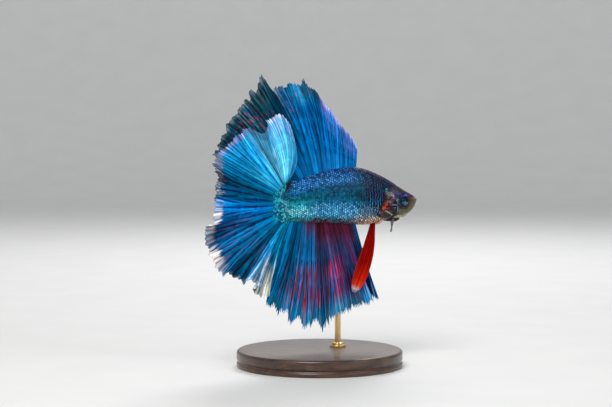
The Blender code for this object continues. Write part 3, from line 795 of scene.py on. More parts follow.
def joinScales(name, points, roots, facts, look):
    # points holds one grid a scale; roots are (share of the length, share of the girth) for the UV patches
    count, rows, columns = points.shape[:3]
    u, v = (a.ravel() for a in scaleShape()[:2])
    block = rows * columns
    starts = np.arange(count) * block
    quads = (gridQuads(rows, columns)[None] + starts[:, None, None]).reshape(-1, 4)
    perPoint = {}
    for key, value in facts.items():
        perPoint[key] = np.repeat(value[:, None], block, 1).reshape(-1, *value.shape[1:])
    perPoint["onScale"] = np.tile(np.stack([u, v, 0 * u], -1), (count, 1))
    patch = np.stack([u - 0.5, v / 2], -1) * scales["patch"]
    corner = ((0.02 + 0.96 * roots)[:, None] + patch[None]).reshape(-1, 2)
    return finishPiece(makePiece(name, points, quads, perPoint, corner[quads]), look, "skin")


def scaleField(name, roots, chance, uneven, look):
    # one piece of scales; uneven holds each one's share of the usual size, its extra lift and its shift
    size, extraLift, shift = (a[:, None, None] for a in uneven)
    station, around = (a[:, None, None] for a in roots.T)
    u, v, half, edge = scaleShape()
    station = station + shift
    small = 0.72 + 0.28 * rise(station, 8, 18)
    s = station + (u - 0.45) * scales["length"] * scales["pitch"] * size * small
    a = around + v * half * 0.25 / scales["rows"] * scales["width"] * size
    lift = scales["rootDepth"] + (scales["tipDepth"] - scales["rootDepth"]) * u
    lift = lift + scales["crown"] * (1 - v**2) * rise(u, 0.0, 0.6)
    lift = lift * (1 - edge) + scales["skirt"] * edge + extraLift
    s = np.clip(s, 0.2, body["length"] - 0.05)
    lift = lift + bodyRelief(s, a, skinPlace(s, a)[1])
    height, side = skinPlace(*roots.T)
    facts = {
        "fishPlace": np.stack([roots[:, 0], height, side], -1),
        "down": 1 - np.abs(2 * (roots[:, 1] % 1) - 1),
        "past": roots[:, 0] - along(coverEdge, height),
        "chance": chance,
    }
    joinScales(name, skinPoint(s, a, lift), roots / (body["length"], 1), facts, look)


def buildScales(look):
    rng = np.random.default_rng(scales["seed"])
    roots = scaleRoots()
    count = len(roots)
    chance = rng.random(count)
    size = 1 + scales["unevenSize"] * rng.standard_normal(count)
    extraLift = scales["unevenDepth"] * rng.standard_normal(count)
    shift = scales["unevenPlace"] * rng.standard_normal(count)
    uneven = np.stack([size, extraLift, shift])
    left = roots[:, 1] < 0.5
    front = roots[:, 0] < scales["split"]
    for length, inLength in (("front", front), ("hind", ~front)):
        for hand, onHand in (("left", left), ("right", ~left)):
            mine = inLength & onHand
            scaleField(f"scales_{length}_{hand}", roots[mine], chance[mine], uneven[:, mine], look)
    print("scales:", count)


tailScales = {
    "rings": 7,  # rows out along the rays
    "reach": 0.15,  # how far out they go, as a share of the rays
    "spread": 27,  # scales down the fin
    "length": 0.056,  # as a share of the rays
    "width": 0.8,  # as a share of the distance between two
    "lift": (0.07, 0.15),  # of the scale's root and of its tip
    "seed": 23,
}


def buildTailScales(look):
    # small scales that run from the stalk out over the roots of the tail fin's rays, on both faces
    reach, rings, spread = (tailScales[part] for part in ("reach", "rings", "spread"))
    rng = np.random.default_rng(tailScales["seed"])
    u, v, half, edge = scaleShape()
    points, roots, places, downs = [], [], [], []
    for face in (1, -1):
        for ring in range(rings):
            for row in range(spread):
                rootT = (row + 0.5 * (ring % 2) + 0.25) / spread
                rootR = reach * (ring + 0.3) / rings + 0.002 * rng.standard_normal()
                # the scales end along a scalloped line that runs furthest out a little below the middle
                far = reach * (0.95 - 0.65 * abs(2 * rootT - 1.2)) + 0.01 * math.sin(19 * rootT)
                if rootR > far or not 0.06 < rootT < 0.96:
                    continue
                size = 1 - 0.5 * rootR / far
                t = np.clip(rootT + v * half * tailScales["width"] / spread * size, 0, 1)
                r = np.clip(rootR + (u - 0.45) * tailScales["length"] * size, 0, 1)
                low, high = (lift * (1 - 0.3 * rootR / far) for lift in tailScales["lift"])
                lift = (low + (high - low) * u + 0.02 * (1 - v**2)) * (1 - edge) + rootSwell(caudal, t, r)
                points.append(finSurface(caudal, t, r, 0 * t, face * lift))
                patchDown = rootT if face > 0 else 1 - rootT
                roots.append((0.965 + 0.03 * rootR / reach, patchDown * 0.9 + 0.05))
                places.append((body["length"] + 12 * rootR, 6 - 12 * rootT, face))
                downs.append(0.42 + 0.3 * rootT + 0.03 * rng.standard_normal())
    count = len(points)
    facts = {
        "fishPlace": np.array(places),
        "down": np.array(downs),
        "past": np.full(count, 30.0),  # far behind the gill cover
        "chance": rng.random(count),
    }
    joinScales("scales_tail", np.array(points), np.array(roots), facts, look)
    print("tail scales:", count)


skinPaint = {
    "shadeBetweenScales": (0.004, 0.01, 0.025),  # painted shade on the skin seen between the scales
    # painted shade in the gill slit
    "slit": (0.002, 0.002, 0.005),
}


def skinLook():
    look = Look("fish skin", Coat_Roughness=0.15, Specular_IOR_Level=0.1)
    station, height, side = look.split(look.fact("fishPlace", 1))
    down = look.fact("down")
    past = look.fact("past")
    # the trunk's skin is darkened by painted shade, as it only shows in the gaps between the scales
    trunk = look.mix(0.45, paintFlank(look, station, height, down, past), skinPaint["shadeBetweenScales"])
    head = paintHead(look, station, height, down)
    # the head's own colours end at the gill slit, and above it they fade out up the nape
    low = look.spread(past, -0.05, 0.1, 1, 0) * look.spread(height, 3.3, 3.9, 1, 0)
    high = look.spread(station - down * 8.0, 7.0, 11.0, 1, 0) * look.spread(height, 2.6, 3.4)
    colour = look.mix(low.atLeast(high), trunk, head)
    # painted shade in the recess of the gill slit, just behind the gill cover's rim
    slit = look.between(past, 0.0, 0.5, 0.08) * look.between(height, -5.8, 3.2, 0.4)
    colour = look.mix(slit, colour, skinPaint["slit"])
    where = look.join(station, height, side)
    grain = look.noise(where, 7.0, 4.0, 0.6)
    fine = look.noise(where, 22.0, 2.0)
    return look.finish(
        Base_Color=colour,
        Roughness=look.spread(grain, 0.3, 0.7, 0.3, 0.46),
        Metallic=0.12,
        Coat_Weight=0.07,
        Normal=look.bump(grain + fine * 0.5, 0.22, 0.1 * mm),
    )


scalePaint = {
    "tailRoot": ((0.0, 0.08, 0.2), (0.0, 0.32, 0.42)),  # from scale to scale
    "tailTop": (0.0, 0.1, 0.15),
    "tailOut": (0.0, 0.17, 0.4),
    "pearl": ((0.13, 0.38, 0.85), (0.42, 0.8, 1.0)),  # the glint on the back and on the lower flank
    "lavender": (0.3, 0.28, 0.5),
    "cream": (1.1, 0.95, 0.7),
    "tailGlint": (0.1, 0.6, 0.85),
    "bars": ((0.06, 0.1, 0.26), (0.05, 0.32, 0.64)),  # high and low on the front flank
    "betweenBars": (0.001, 0.006, 0.02),
    # dark pigment with painted shade where the scales overlap
    "seam": (0.001, 0.012, 0.035),
    "barTurns": 7.6,  # radians a mm
}


def scaleLook():
    look = Look("scales", Coat_Roughness=0.12, Specular_IOR_Level=0.12)
    paint = scalePaint
    station, height = look.split(look.fact("fishPlace", 1))[:2]
    down = look.fact("down")
    chance = look.fact("chance")
    u, v = look.split(look.fact("onScale", 1))[:2]
    colour = paintFlank(look, station, height, down, look.fact("past"))
    # over the root of the tail fin the scales take its colours
    onTail = look.spread(station, 45.1, 46.0)
    root = look.mix(look.spread(chance, 0.2, 0.8), *paint["tailRoot"])
    root = look.mix(look.spread(height, 0.0, 3.0) * 0.7, root, paint["tailTop"])
    colour = look.mix(onTail * 0.9, colour, root)
    colour = look.mix(look.spread(station, 45.9, 46.8) * 0.8, colour, paint["tailOut"])
    colour = look.shade(colour, look.spread(chance, 0.0, 1.0, 0.6, 1.55))
    front = look.spread(station, 18, 27, 1, 0)
    lower = look.between(down, 0.6, 0.86, 0.05)
    lower = lower + look.spread(station, 42.4, 44.0) * look.between(down, 0.46, 0.6, 0.04)
    upper = look.spread(down, 0.24, 0.34, 1, 0) * look.spread(station, 41.0, 43.2, 1, 0)
    # the hind half of each scale catches the light: pearly below, lavender on the back
    turn = look.noise(look.join(chance * 90.0, u * 2.0, v * 2.0), 1.0, 1.0)
    straight = scales["straight"]
    back = ((u - straight) / (1 - straight)).atLeast(0.0)
    rim = (back * back + v * v * (1 - back * back)) ** 0.5
    fleck = look.between(rim + (turn - 0.5) * 0.5, 0.46, 0.86, 0.14) * look.spread(back, 0.2, 0.55)
    fleck = fleck * look.spread(turn + v * 0.12, 0.36, 0.56, 0.12, 1.0)
    pearl = look.mix(lower, *paint["pearl"])
    pearl = look.mix(front * upper, pearl, paint["lavender"])
    breast = look.between(down, 0.79, 0.96, 0.03) * look.between(station, 14.8, 22.0, 0.6)
    pearl = look.mix(breast, pearl, paint["cream"])
    pearl = look.mix(onTail, pearl, paint["tailGlint"])
    patchy = look.spread(look.noise(look.join(station, down * 22, 9.0), 0.45, 2.0), 0.36, 0.6, 0.5, 1.2)
    region = lower * 1.1 + upper * 0.9 + breast + 0.03
    sparkle = fleck * look.spread(chance, 0.1, 0.9, 0.05, 1.1) * region * patchy
    sparkle = sparkle * (look.spread(front, 0, 1, 1.0, 0.35) + breast * 0.7)
    colour = look.mix(sparkle, colour, pearl)
    # forward on the flank wavy upright bars run on from scale to scale
    there = station + (u - 0.45) * (scales["length"] * scales["pitch"])
    wave = look.noise(look.join(there * 0.4, (height + v * 0.3) * 0.9, 2.0), 1.0, 1.0) * 1.2
    bar = ((there + wave) * paint["barTurns"]).sine()
    barred = look.spread(station, 17.5, 22.5, 1, 0) * look.spread(down, 0.12, 0.24)
    barred = barred * look.spread(down, 0.74, 0.82, 1, 0) * 0.8
    pale = look.mix(look.spread(down, 0.44, 0.6), *paint["bars"])
    colour = look.mix(look.spread(bar, 0.3, 0.95) * barred, colour, pale)
    colour = look.mix(look.spread(bar, -0.1, 0.5, 1, 0) * barred, colour, paint["betweenBars"])
    # dark pigment and painted shade where each scale lies under the one before and beside its neighbours, but
    # little of it on the bare breast
    seam = look.spread(u, 0.46, 0.66, 0.9, 0) + look.spread(abs(v), 0.55, 1.0, 0, 0.7)
    seam = seam * look.spread(down, 0.3, 0.4, 0.9, 0.5) * look.spread(down, 0.56, 0.64, 1.0, 1.7)
    bare = look.spread(down, 0.82, 0.88) * look.spread(station, 14.2, 15.4, 0.75, 0)
    seam = seam * look.spread(onTail, 0, 1, 1.0, 0.8) * (1 - bare)
    colour = look.mix(seam, colour, look.mix(0.88, colour, paint["seam"]))
    growthRings = look.noise(look.join(u * 3.0, v * 0.5, chance * 50.0), 6.0, 2.0)
    return look.finish(
        Base_Color=colour,
        Roughness=look.spread(chance, 0.0, 1.0, 0.26, 0.44),
        Metallic=look.spread(down, 0.84, 0.95, 0.45, 0.1),
        Coat_Weight=0.07,
        Normal=look.bump(growthRings, 0.25, 0.06 * mm),
    )


# Eyes

eye = {  # lengths in mm
    "side": 2.75,  # of the eye's middle from the midline
    "depth": 1.05,
    "radius": 1.5,
    "ahead": 7.0,  # degrees that it looks forwards and up
    "up": 8.0,
    "cornea": 0.08,
    "rings": 72,
    "spokes": 96,
    "pupil": (0.28, 0.3),  # middle and radius, as shares of the eye's radius
    "pupilRadius": 0.58,
    "iris": ((0.3, (0.002, 0.012, 0.02)), (0.5, (0.006, 0.06, 0.11)), (0.72, (0.1, 0.36, 0.5))),
    # painted shadow from the brow over the top of the iris
    "irisTopShade": (0.004, 0.014, 0.03),
    "shine": (0.07, 0.24, 0.36),
    "amber": (0.26, 0.1, 0.03),
    "ring": (0.1, 0.16, 0.18),
    "black": (0.001, 0.001, 0.002),
    "rim": (0.004, 0.01, 0.02),
}


def eyeLook():
    look = Look("eye", Roughness=0.2, Coat_Roughness=0.03, Coat_Weight=0.1, Specular_IOR_Level=0.05)
    x, y = look.split(look.fact("eyePlace", 1))[:2]
    across, upwards = x - eye["pupil"][0], y - eye["pupil"][1]
    fromPupil = (across**2 + upwards**2) ** 0.5
    fromMiddle = (x**2 + y**2) ** 0.5
    turn = upwards.maths("ARCTAN2", upwards, across)
    spokes = look.noise(look.join(turn * 6.0, fromPupil * 2.5, 0.0), 2.0, 3.0, 0.6)
    # the top of the iris is painted dark, as shadow from the brow
    low = look.spread(y, -0.2, 0.1, 1, 0)
    iris = look.mix(low * 0.8, eye["irisTopShade"], look.ramp(spokes, eye["iris"]))
    shine = look.spot(x, y, (-0.1, -0.4), (0.5, 0.2), 0.6)
    iris = look.mix(shine * look.spread(spokes, 0.3, 0.6, 0.3, 0.9), iris, eye["shine"])
    amber = look.spot(x, y, (-0.05, -0.86), (0.3, 0.09), 0.6)
    iris = look.mix(amber * 0.7, iris, eye["amber"])
    edge = eye["pupilRadius"]
    iris = look.mix(look.between(fromPupil, edge, edge + 0.05, 0.02) * 0.3, iris, eye["ring"])
    colour = look.mix(look.spread(fromPupil, edge - 0.02, edge + 0.02, 1, 0), iris, eye["black"])
    colour = look.mix(look.spread(fromMiddle, 0.88, 0.97), colour, eye["rim"])
    return look.finish(Base_Color=colour, Metallic=0.0)


def buildEye(name, node, sign, look):
    station, height = skin["eye"]
    heading = math.radians(float(smooth(station, body["turnAt"], body["turn"])))
    up = math.radians(eye["up"])
    # the eye's own axes: out of the head, forwards and upwards
    turned = heading + sign * (math.pi / 2 - math.radians(eye["ahead"]))
    out = np.array([math.cos(turned) * math.cos(up), math.sin(turned) * math.cos(up), math.sin(up)])
    forwards = -unit(np.cross(np.array([0, 0, sign]), out))
    upwards = unit(np.cross(out, forwards)) * -sign
    polar = np.linspace(0.02, math.pi * 0.62, eye["rings"])
    turn = np.arange(eye["spokes"]) / eye["spokes"] * 2 * math.pi
    polar, turn = np.meshgrid(polar, turn, indexing="ij")
    x, y = np.sin(polar) * np.cos(turn), np.sin(polar) * np.sin(turn)
    # the clear cornea swells over the pupil, with a shallow ring at its foot
    reach = np.hypot(x, y)
    depth = eye["depth"] * np.cos(polar) + eye["cornea"] * hump(reach, 0.5) - 0.03 * hump(reach - 0.8, 0.08)
    across = eye["radius"] * (x[..., None] * forwards + y[..., None] * upwards)
    points = place(station, height, sign * eye["side"]) + (depth[..., None] * out + across) * mm
    quads = gridQuads(eye["rings"], eye["spokes"], closed=True)
    piece = makePiece(name, points, quads, {"eyePlace": np.stack([x, y, depth], -1).reshape(-1, 3)})
    return finishPiece(piece, look, "eye", node)


# Fins: each row of pairs runs from the front ray (0) to the rear one (1), and lengths are in mm

dorsal = {
    "up": 1,
    "root": (21.3, 41.9),  # first and last station
    # lean is how far the rays lean back, in degrees, and bend how far they bend from root to tip
    "lean": ((0, -4), (0.2, 5), (0.5, 12), (0.7, 23), (0.8, 31), (0.9, 50), (1, 70)),
    "bend": ((0, 6), (0.6, 14), (1, 4)),
    "reach": ((0, 5.2), (0.05, 7.6), (0.1, 9.3), (0.2, 12.9), (0.3, 15.9), (0.35, 18.4), (0.4, 20.9),
              (0.45, 23.1), (0.5, 25.5), (0.6, 27.2), (0.7, 27.9), (0.75, 30.2), (0.79, 28.5), (0.85, 27.5),
              (0.9, 25.7), (0.95, 23.9), (1, 22.2)),
    "sway": ((0, 0), (0.5, -1.2), (0.7, -0.6), (0.8, 3.6), (1, 4.6)),  # of the tips, to the left
    # how often the fin has folded over on its way to a ray, and how deep its folds are
    "foldTurns": ((0, 0), (0.16, 1), (0.34, 2), (0.5, 3), (0.68, 4), (0.78, 5), (0.9, 6), (1, 6.6)),
    "foldDepth": ((0, 0.3), (0.36, 0.6), (0.5, 1.2), (0.7, 1.7), (1, 1.0)),
    "overhang": ((0, 0.8), (0.4, 1.2), (0.55, 2.5), (1, 2.5)),  # degrees that a fold leans over the next
    "teeth": 20,
    "toothDepth": ((0, 0.0), (0.45, 0.0), (0.55, 0.01), (0.75, 0.012), (1, 0.012)),
    "rays": 15,
    "columns": 720,  # mesh points along the fin and along its rays
    "rows": 46,
    # how long the single ray tips are, and how far the margin runs in and out, as shares of the rays
    "fringe": ((0, 0.004), (0.42, 0.008), (0.5, 0.028), (0.66, 0.02), (0.76, 0.014), (1, 0.013)),
    "uneven": ((0, 0.0), (0.45, 0.0), (0.6, 0.01), (0.75, 0.022), (1, 0.02)),
    # where a point stands out, by what share of the ray, and half its width
    "spikes": ((0.515, 0.1, 0.011), (0.757, 0.09, 0.009), (0.79, 0.05, 0.007), (0.72, 0.03, 0.008)),
    "inset": 0.75,  # how deep the roots run into the body
    "rootEnds": (0.0, 1.9),  # how far the first and last ray stand off the row of the others
    "joints": 260.0,  # how closely its rays are jointed
    "seed": 3,
}
anal = {
    "up": -1,
    "root": (21.3, 42.3),
    "lean": ((0, -18), (0.12, -19.5), (0.25, -18), (0.38, -12), (0.5, -5), (0.75, 6), (0.92, 17), (1, 40)),
    "bend": ((0, -4), (0.25, 4), (1, 6)),
    "reach": ((0, 23.2), (0.12, 24.0), (0.25, 25.0), (0.35, 25.6), (0.45, 26.8), (0.5, 28.2), (0.57, 29.4),
              (0.65, 29.6), (0.78, 28.6), (0.86, 27.2), (0.92, 24.0), (1, 14.5)),
    "sway": ((0, 0.4), (0.12, 0.8), (0.25, -2.0), (0.5, -1.6), (0.8, -0.4), (1, 1.6)),
    "foldTurns": ((0, 0), (0.1, 1), (0.21, 2), (0.33, 3), (0.47, 4), (0.6, 5), (0.74, 6), (0.87, 7), (1, 8)),
    "foldDepth": ((0, 1.6), (0.25, 1.5), (0.5, 0.9), (1, 0.9)),
    "overhang": ((0, 2.0), (1, 2.0)),
    "teeth": 22,
    "toothDepth": ((0, 0.05), (1, 0.06)),
    "rays": 22,
    "columns": 704,
    "rows": 46,
    "fringe": ((0, 0.06), (1, 0.075)),
    "uneven": ((0, 0.008), (1, 0.02)),
    "spikes": ((0.3, 0.03, 0.012), (0.42, 0.03, 0.01), (0.585, 0.05, 0.011), (0.725, 0.035, 0.01)),
    "inset": 0.75,
    "rootEnds": (0.0, 2.0),
    "joints": 260.0,
    "seed": 5,
}
caudal = {
    "up": 1,
    "root": (76, -76),  # degrees round the end of the stalk
    "lean": ((0, -1), (0.5, 82), (1, 161)),
    "bend": ((0, 80), (0.06, 44), (0.13, 14), (0.22, 0), (0.5, 0), (1, 8)),
    "reach": ((0, 13.0), (0.03, 16.2), (0.05, 18.3), (0.075, 20.0), (0.12, 19.4), (0.16, 17.0), (0.19, 20.6),
              (0.27, 21.4), (0.35, 23.4), (0.4, 22.6), (0.46, 19.6), (0.53, 19.8), (0.57, 21.4), (0.62, 22.4),
              (0.65, 23.6), (0.68, 24.9), (0.75, 25.4), (0.81, 25.2), (0.86, 22.4), (0.885, 22.8),
              (0.93, 20.8), (0.975, 23.2), (1, 21.6)),
    "sway": ((0, -3.0), (0.3, -3.4), (0.45, -1.2), (0.55, -2.6), (1, -3.4)),
    "foldTurns": ((0, -0.5), (0.07, 0), (0.17, 1), (0.29, 2), (0.46, 3), (0.57, 4), (0.67, 5), (0.76, 6),
                  (0.85, 7), (0.92, 8), (0.97, 9), (1, 9.5)),
    "foldDepth": ((0, 1.0), (0.3, 1.9), (0.55, 2.2), (0.8, 1.4), (1, 0.9)),
    "overhang": ((0, 4.0), (0.44, 4.0), (0.52, 8.0), (0.6, 4.0), (1, 4.0)),
    "teeth": 28,
    "toothDepth": ((0, 0.012), (0.3, 0.015), (0.5, 0.02), (1, 0.016)),
    "rays": 16,
    "columns": 896,
    "rows": 50,
    "fringe": ((0, 0.02), (0.3, 0.024), (0.45, 0.034), (0.6, 0.024), (1, 0.026)),
    "uneven": ((0, 0.0), (0.15, 0.008), (0.4, 0.02), (0.6, 0.014), (1, 0.014)),
    "spikes": ((0.06, 0.05, 0.012), (0.21, 0.03, 0.012), (0.27, 0.03, 0.01), (0.34, 0.03, 0.012)),
    "inset": 1.3,
    "rootEnds": (4.0, 4.0),
    "swell": (0.27, 0.07),  # how much thicker the root is, and how far out that runs
    "joints": 220.0,
    "seed": 7,
}
ray = {
    "film": 0.045,  # half thickness of the film between rays
    "height": 0.085,  # how far a ray stands out of it
    "splits": (0.26, 0.5, 0.74),  # where a ray branches, as a share of its length
    "splitLength": 0.2,
    "ripple": 0.16,  # how far the film waves from ray to ray
    "unevenRays": 0.45,  # how much the tone varies from ray to ray, and from branch to branch
    "unevenBranches": 0.8,
    "tips": (0.5, 0.35),  # how much the tips' lengths vary from ray to ray and from branch to branch
    "notch": (0.45, 1.3),  # how far the film hangs back between two tips, at the least and at the most
}


def finRoot(fin, t):
    first, last = fin["root"]
    before, after = fin["rootEnds"]
    gap = body["rootGap"]
    if fin is caudal:
        turn = np.radians(first + before * (1 - t) ** 4 + (last - first) * t - after * t**4)
        start = body["length"] - body["endRounding"]
        back, belly = section(np.array(start))[:2]
        length = body["endRounding"] + 2 * gap
        return start + length * np.cos(turn), (back - belly) / 2 + ((back + belly) / 2 + gap) * np.sin(turn)
    station = first + (last - first) * t + after * t**6
    back, belly = section(station)[:2]
    return station, (back + gap if fin["up"] > 0 else -belly - gap)


def finPlace(fin, t, r, edge):
    # station, height and side on a middle fin: t runs front to back, r from the root to the tip
    lean, bend = along(fin["lean"], t), along(fin["bend"], t)
    turns = along(fin["foldTurns"], t)
    overhang = r**1.5 * along(fin["overhang"], t) * np.sin(2 * math.pi * turns)
    angle = np.radians(lean + bend * (r - 1) / 2 + overhang)
    tooth = along(fin["toothDepth"], t) * (2 * np.abs((t * fin["teeth"]) % 1 - 0.5) - 0.5)
    reach = along(fin["reach"], t) * (1 + tooth + edge) * r - fin["inset"] * (1 - r) ** 6
    station, height = finRoot(fin, t)
    side = along(fin["sway"], t) * r + along(fin["foldDepth"], t) * r**1.4 * -np.cos(math.pi * turns)
    side = side + ray["ripple"] * r * (1 - 0.4 * r) * np.sin(2 * math.pi * fin["rays"] * t)
    return station + reach * np.sin(angle), height + fin["up"] * reach * np.cos(angle), side


def rootSwell(fin, t, r):
    # a fin whose root swells runs smoothly out of the body
    height, run = fin.get("swell", (0, 1))
    return height * hump(r, run) * np.maximum(np.sin(math.pi * t), 0) ** 0.5


def rayCentres(fin, r):
    # the middle of every branch at r, as shares of the fin; each ray forks at each split
    rays = fin["rays"]
    branches = 2 ** len(ray["splits"])
    which = np.arange(rays * branches)
    centre = (which // branches + 0.5) / rays + np.zeros((len(r), 1))
    for level, split in enumerate(ray["splits"]):
        towards = np.where((which // (branches // 2 ** (level + 1))) % 2, 1, -1)
        opened = rise(r, split, split + ray["splitLength"])[:, None]
        centre = centre + towards * opened / (rays * 2 ** (level + 2))
    return centre


def nearestBranch(t, centres):
    # how far each t is from the nearest branch, and which that is
    gap = np.abs(t[:, None] - centres[None])
    return gap.min(1), gap.argmin(1)


def finGrid(fin):
    # places along the fin and its rays, then how much of a ray, what margin and what tone is at each
    rng = np.random.default_rng(fin["seed"])
    t = (np.arange(fin["columns"]) + 0.5) / fin["columns"]
    t[0], t[-1] = 0, 1
    r = np.linspace(0, 1, fin["rows"])
    centres = rayCentres(fin, r)
    branches = 2.0 ** np.searchsorted(ray["splits"], r - 0.1)
    width = (0.34 - 0.12 * r) / (fin["rays"] * branches)
    nearest = [nearestBranch(t, centre) for centre in centres]
    away, owner = (np.array(part) for part in zip(*nearest))
    onRay = hump(away, width[:, None])
    onRay[:, 0] = onRay[:, -1] = 1
    count = centres.shape[1]
    perRay = count // fin["rays"]
    tone = rng.normal(0, ray["unevenRays"], fin["rays"]).repeat(perRay)
    tone = tone + rng.normal(0, ray["unevenBranches"], count)
    # each branch ends at its own length, and the film hangs back between them
    unevenRay, unevenBranch = ray["tips"]
    tips = rng.normal(0, unevenBranch, count) + rng.normal(0, unevenRay, fin["rays"]).repeat(perRay)
    between = np.clip(away[-1] * 2 * count, 0, 1)
    notch = rng.uniform(*ray["notch"], count)[owner[-1]]
    edge = along(fin["fringe"], t) * (0.4 * tips[owner[-1]] + 0.35 - notch * between**1.5)
    # and the margin as a whole runs in and out a little
    starts = rng.uniform(0, 2 * math.pi, 8)
    for turns, start in zip((9, 13, 17, 23, 29, 37, 43, 53), starts):
        edge = edge + along(fin["uneven"], t) * np.sin(turns * 2 * math.pi * t + start) / 3
    for middle, length, halfWidth in fin["spikes"]:
        edge = edge + length * hump(t - middle, halfWidth) * (1 - 0.3 * between)
    return t, r, onRay, edge, tone[owner]


def finSurface(fin, t, r, edge, lift):
    # a point lift mm to the left of a middle fin's own middle surface
    stepT, stepR = 0.4 / fin["columns"], 0.4 / fin["rows"]
    downT = place(*finPlace(fin, np.clip(t + stepT, 0, 1), r, edge))
    downT = downT - place(*finPlace(fin, np.clip(t - stepT, 0, 1), r, edge))
    downR = place(*finPlace(fin, t, np.clip(r + stepR, 0, 1), edge))
    downR = downR - place(*finPlace(fin, t, np.clip(r - stepR, 0, 1), edge))
    normal = unit(np.cross(downT, downR)) * fin["up"]
    return place(*finPlace(fin, t, r, edge)) + normal * (np.asarray(lift) * mm)[..., None]


def buildFin(name, fin, look, slot, node):
    t, r, onRay, edge, tone = finGrid(fin)
    t, r = np.meshgrid(t, r)
    edge = edge[None] + 0 * r
    # the film thins outwards, and the rays rise out of the root and end thin
    thick = ray["height"] * onRay * (1.15 - 0.75 * r) * (0.3 + 0.7 * rise(r, 0, 0.13))
    thick = (thick + ray["film"] * (1 - 0.5 * r)) * (1 - 0.7 * rise(r, 0.95, 1.0)) + rootSwell(fin, t, r)
    faces = [finSurface(fin, t, r, edge, lift).reshape(-1, 3) for lift in (thick, -thick)]
    quads = sheetQuads(*r.shape, flip=fin["up"] < 0)
    flat = np.stack([0.005 + 0.99 * t, 0.005 + 0.485 * r], -1).reshape(-1, 2)
    corner = np.concatenate([flat, flat + (0, 0.5)])
    # where the valleys between folds lie on each face, for painted shade
    valley = np.cos(math.pi * along(fin["foldTurns"], t)).ravel()
    facts = {
        "finPlace": bothFaces(t, r, onRay),
        "tone": np.tile(tone.ravel(), 2),
        "valley": np.concatenate([valley, -valley]),
    }
    piece = makePiece(name, np.concatenate(faces), quads, facts, corner[quads])
    return finishPiece(piece, look, slot, node)


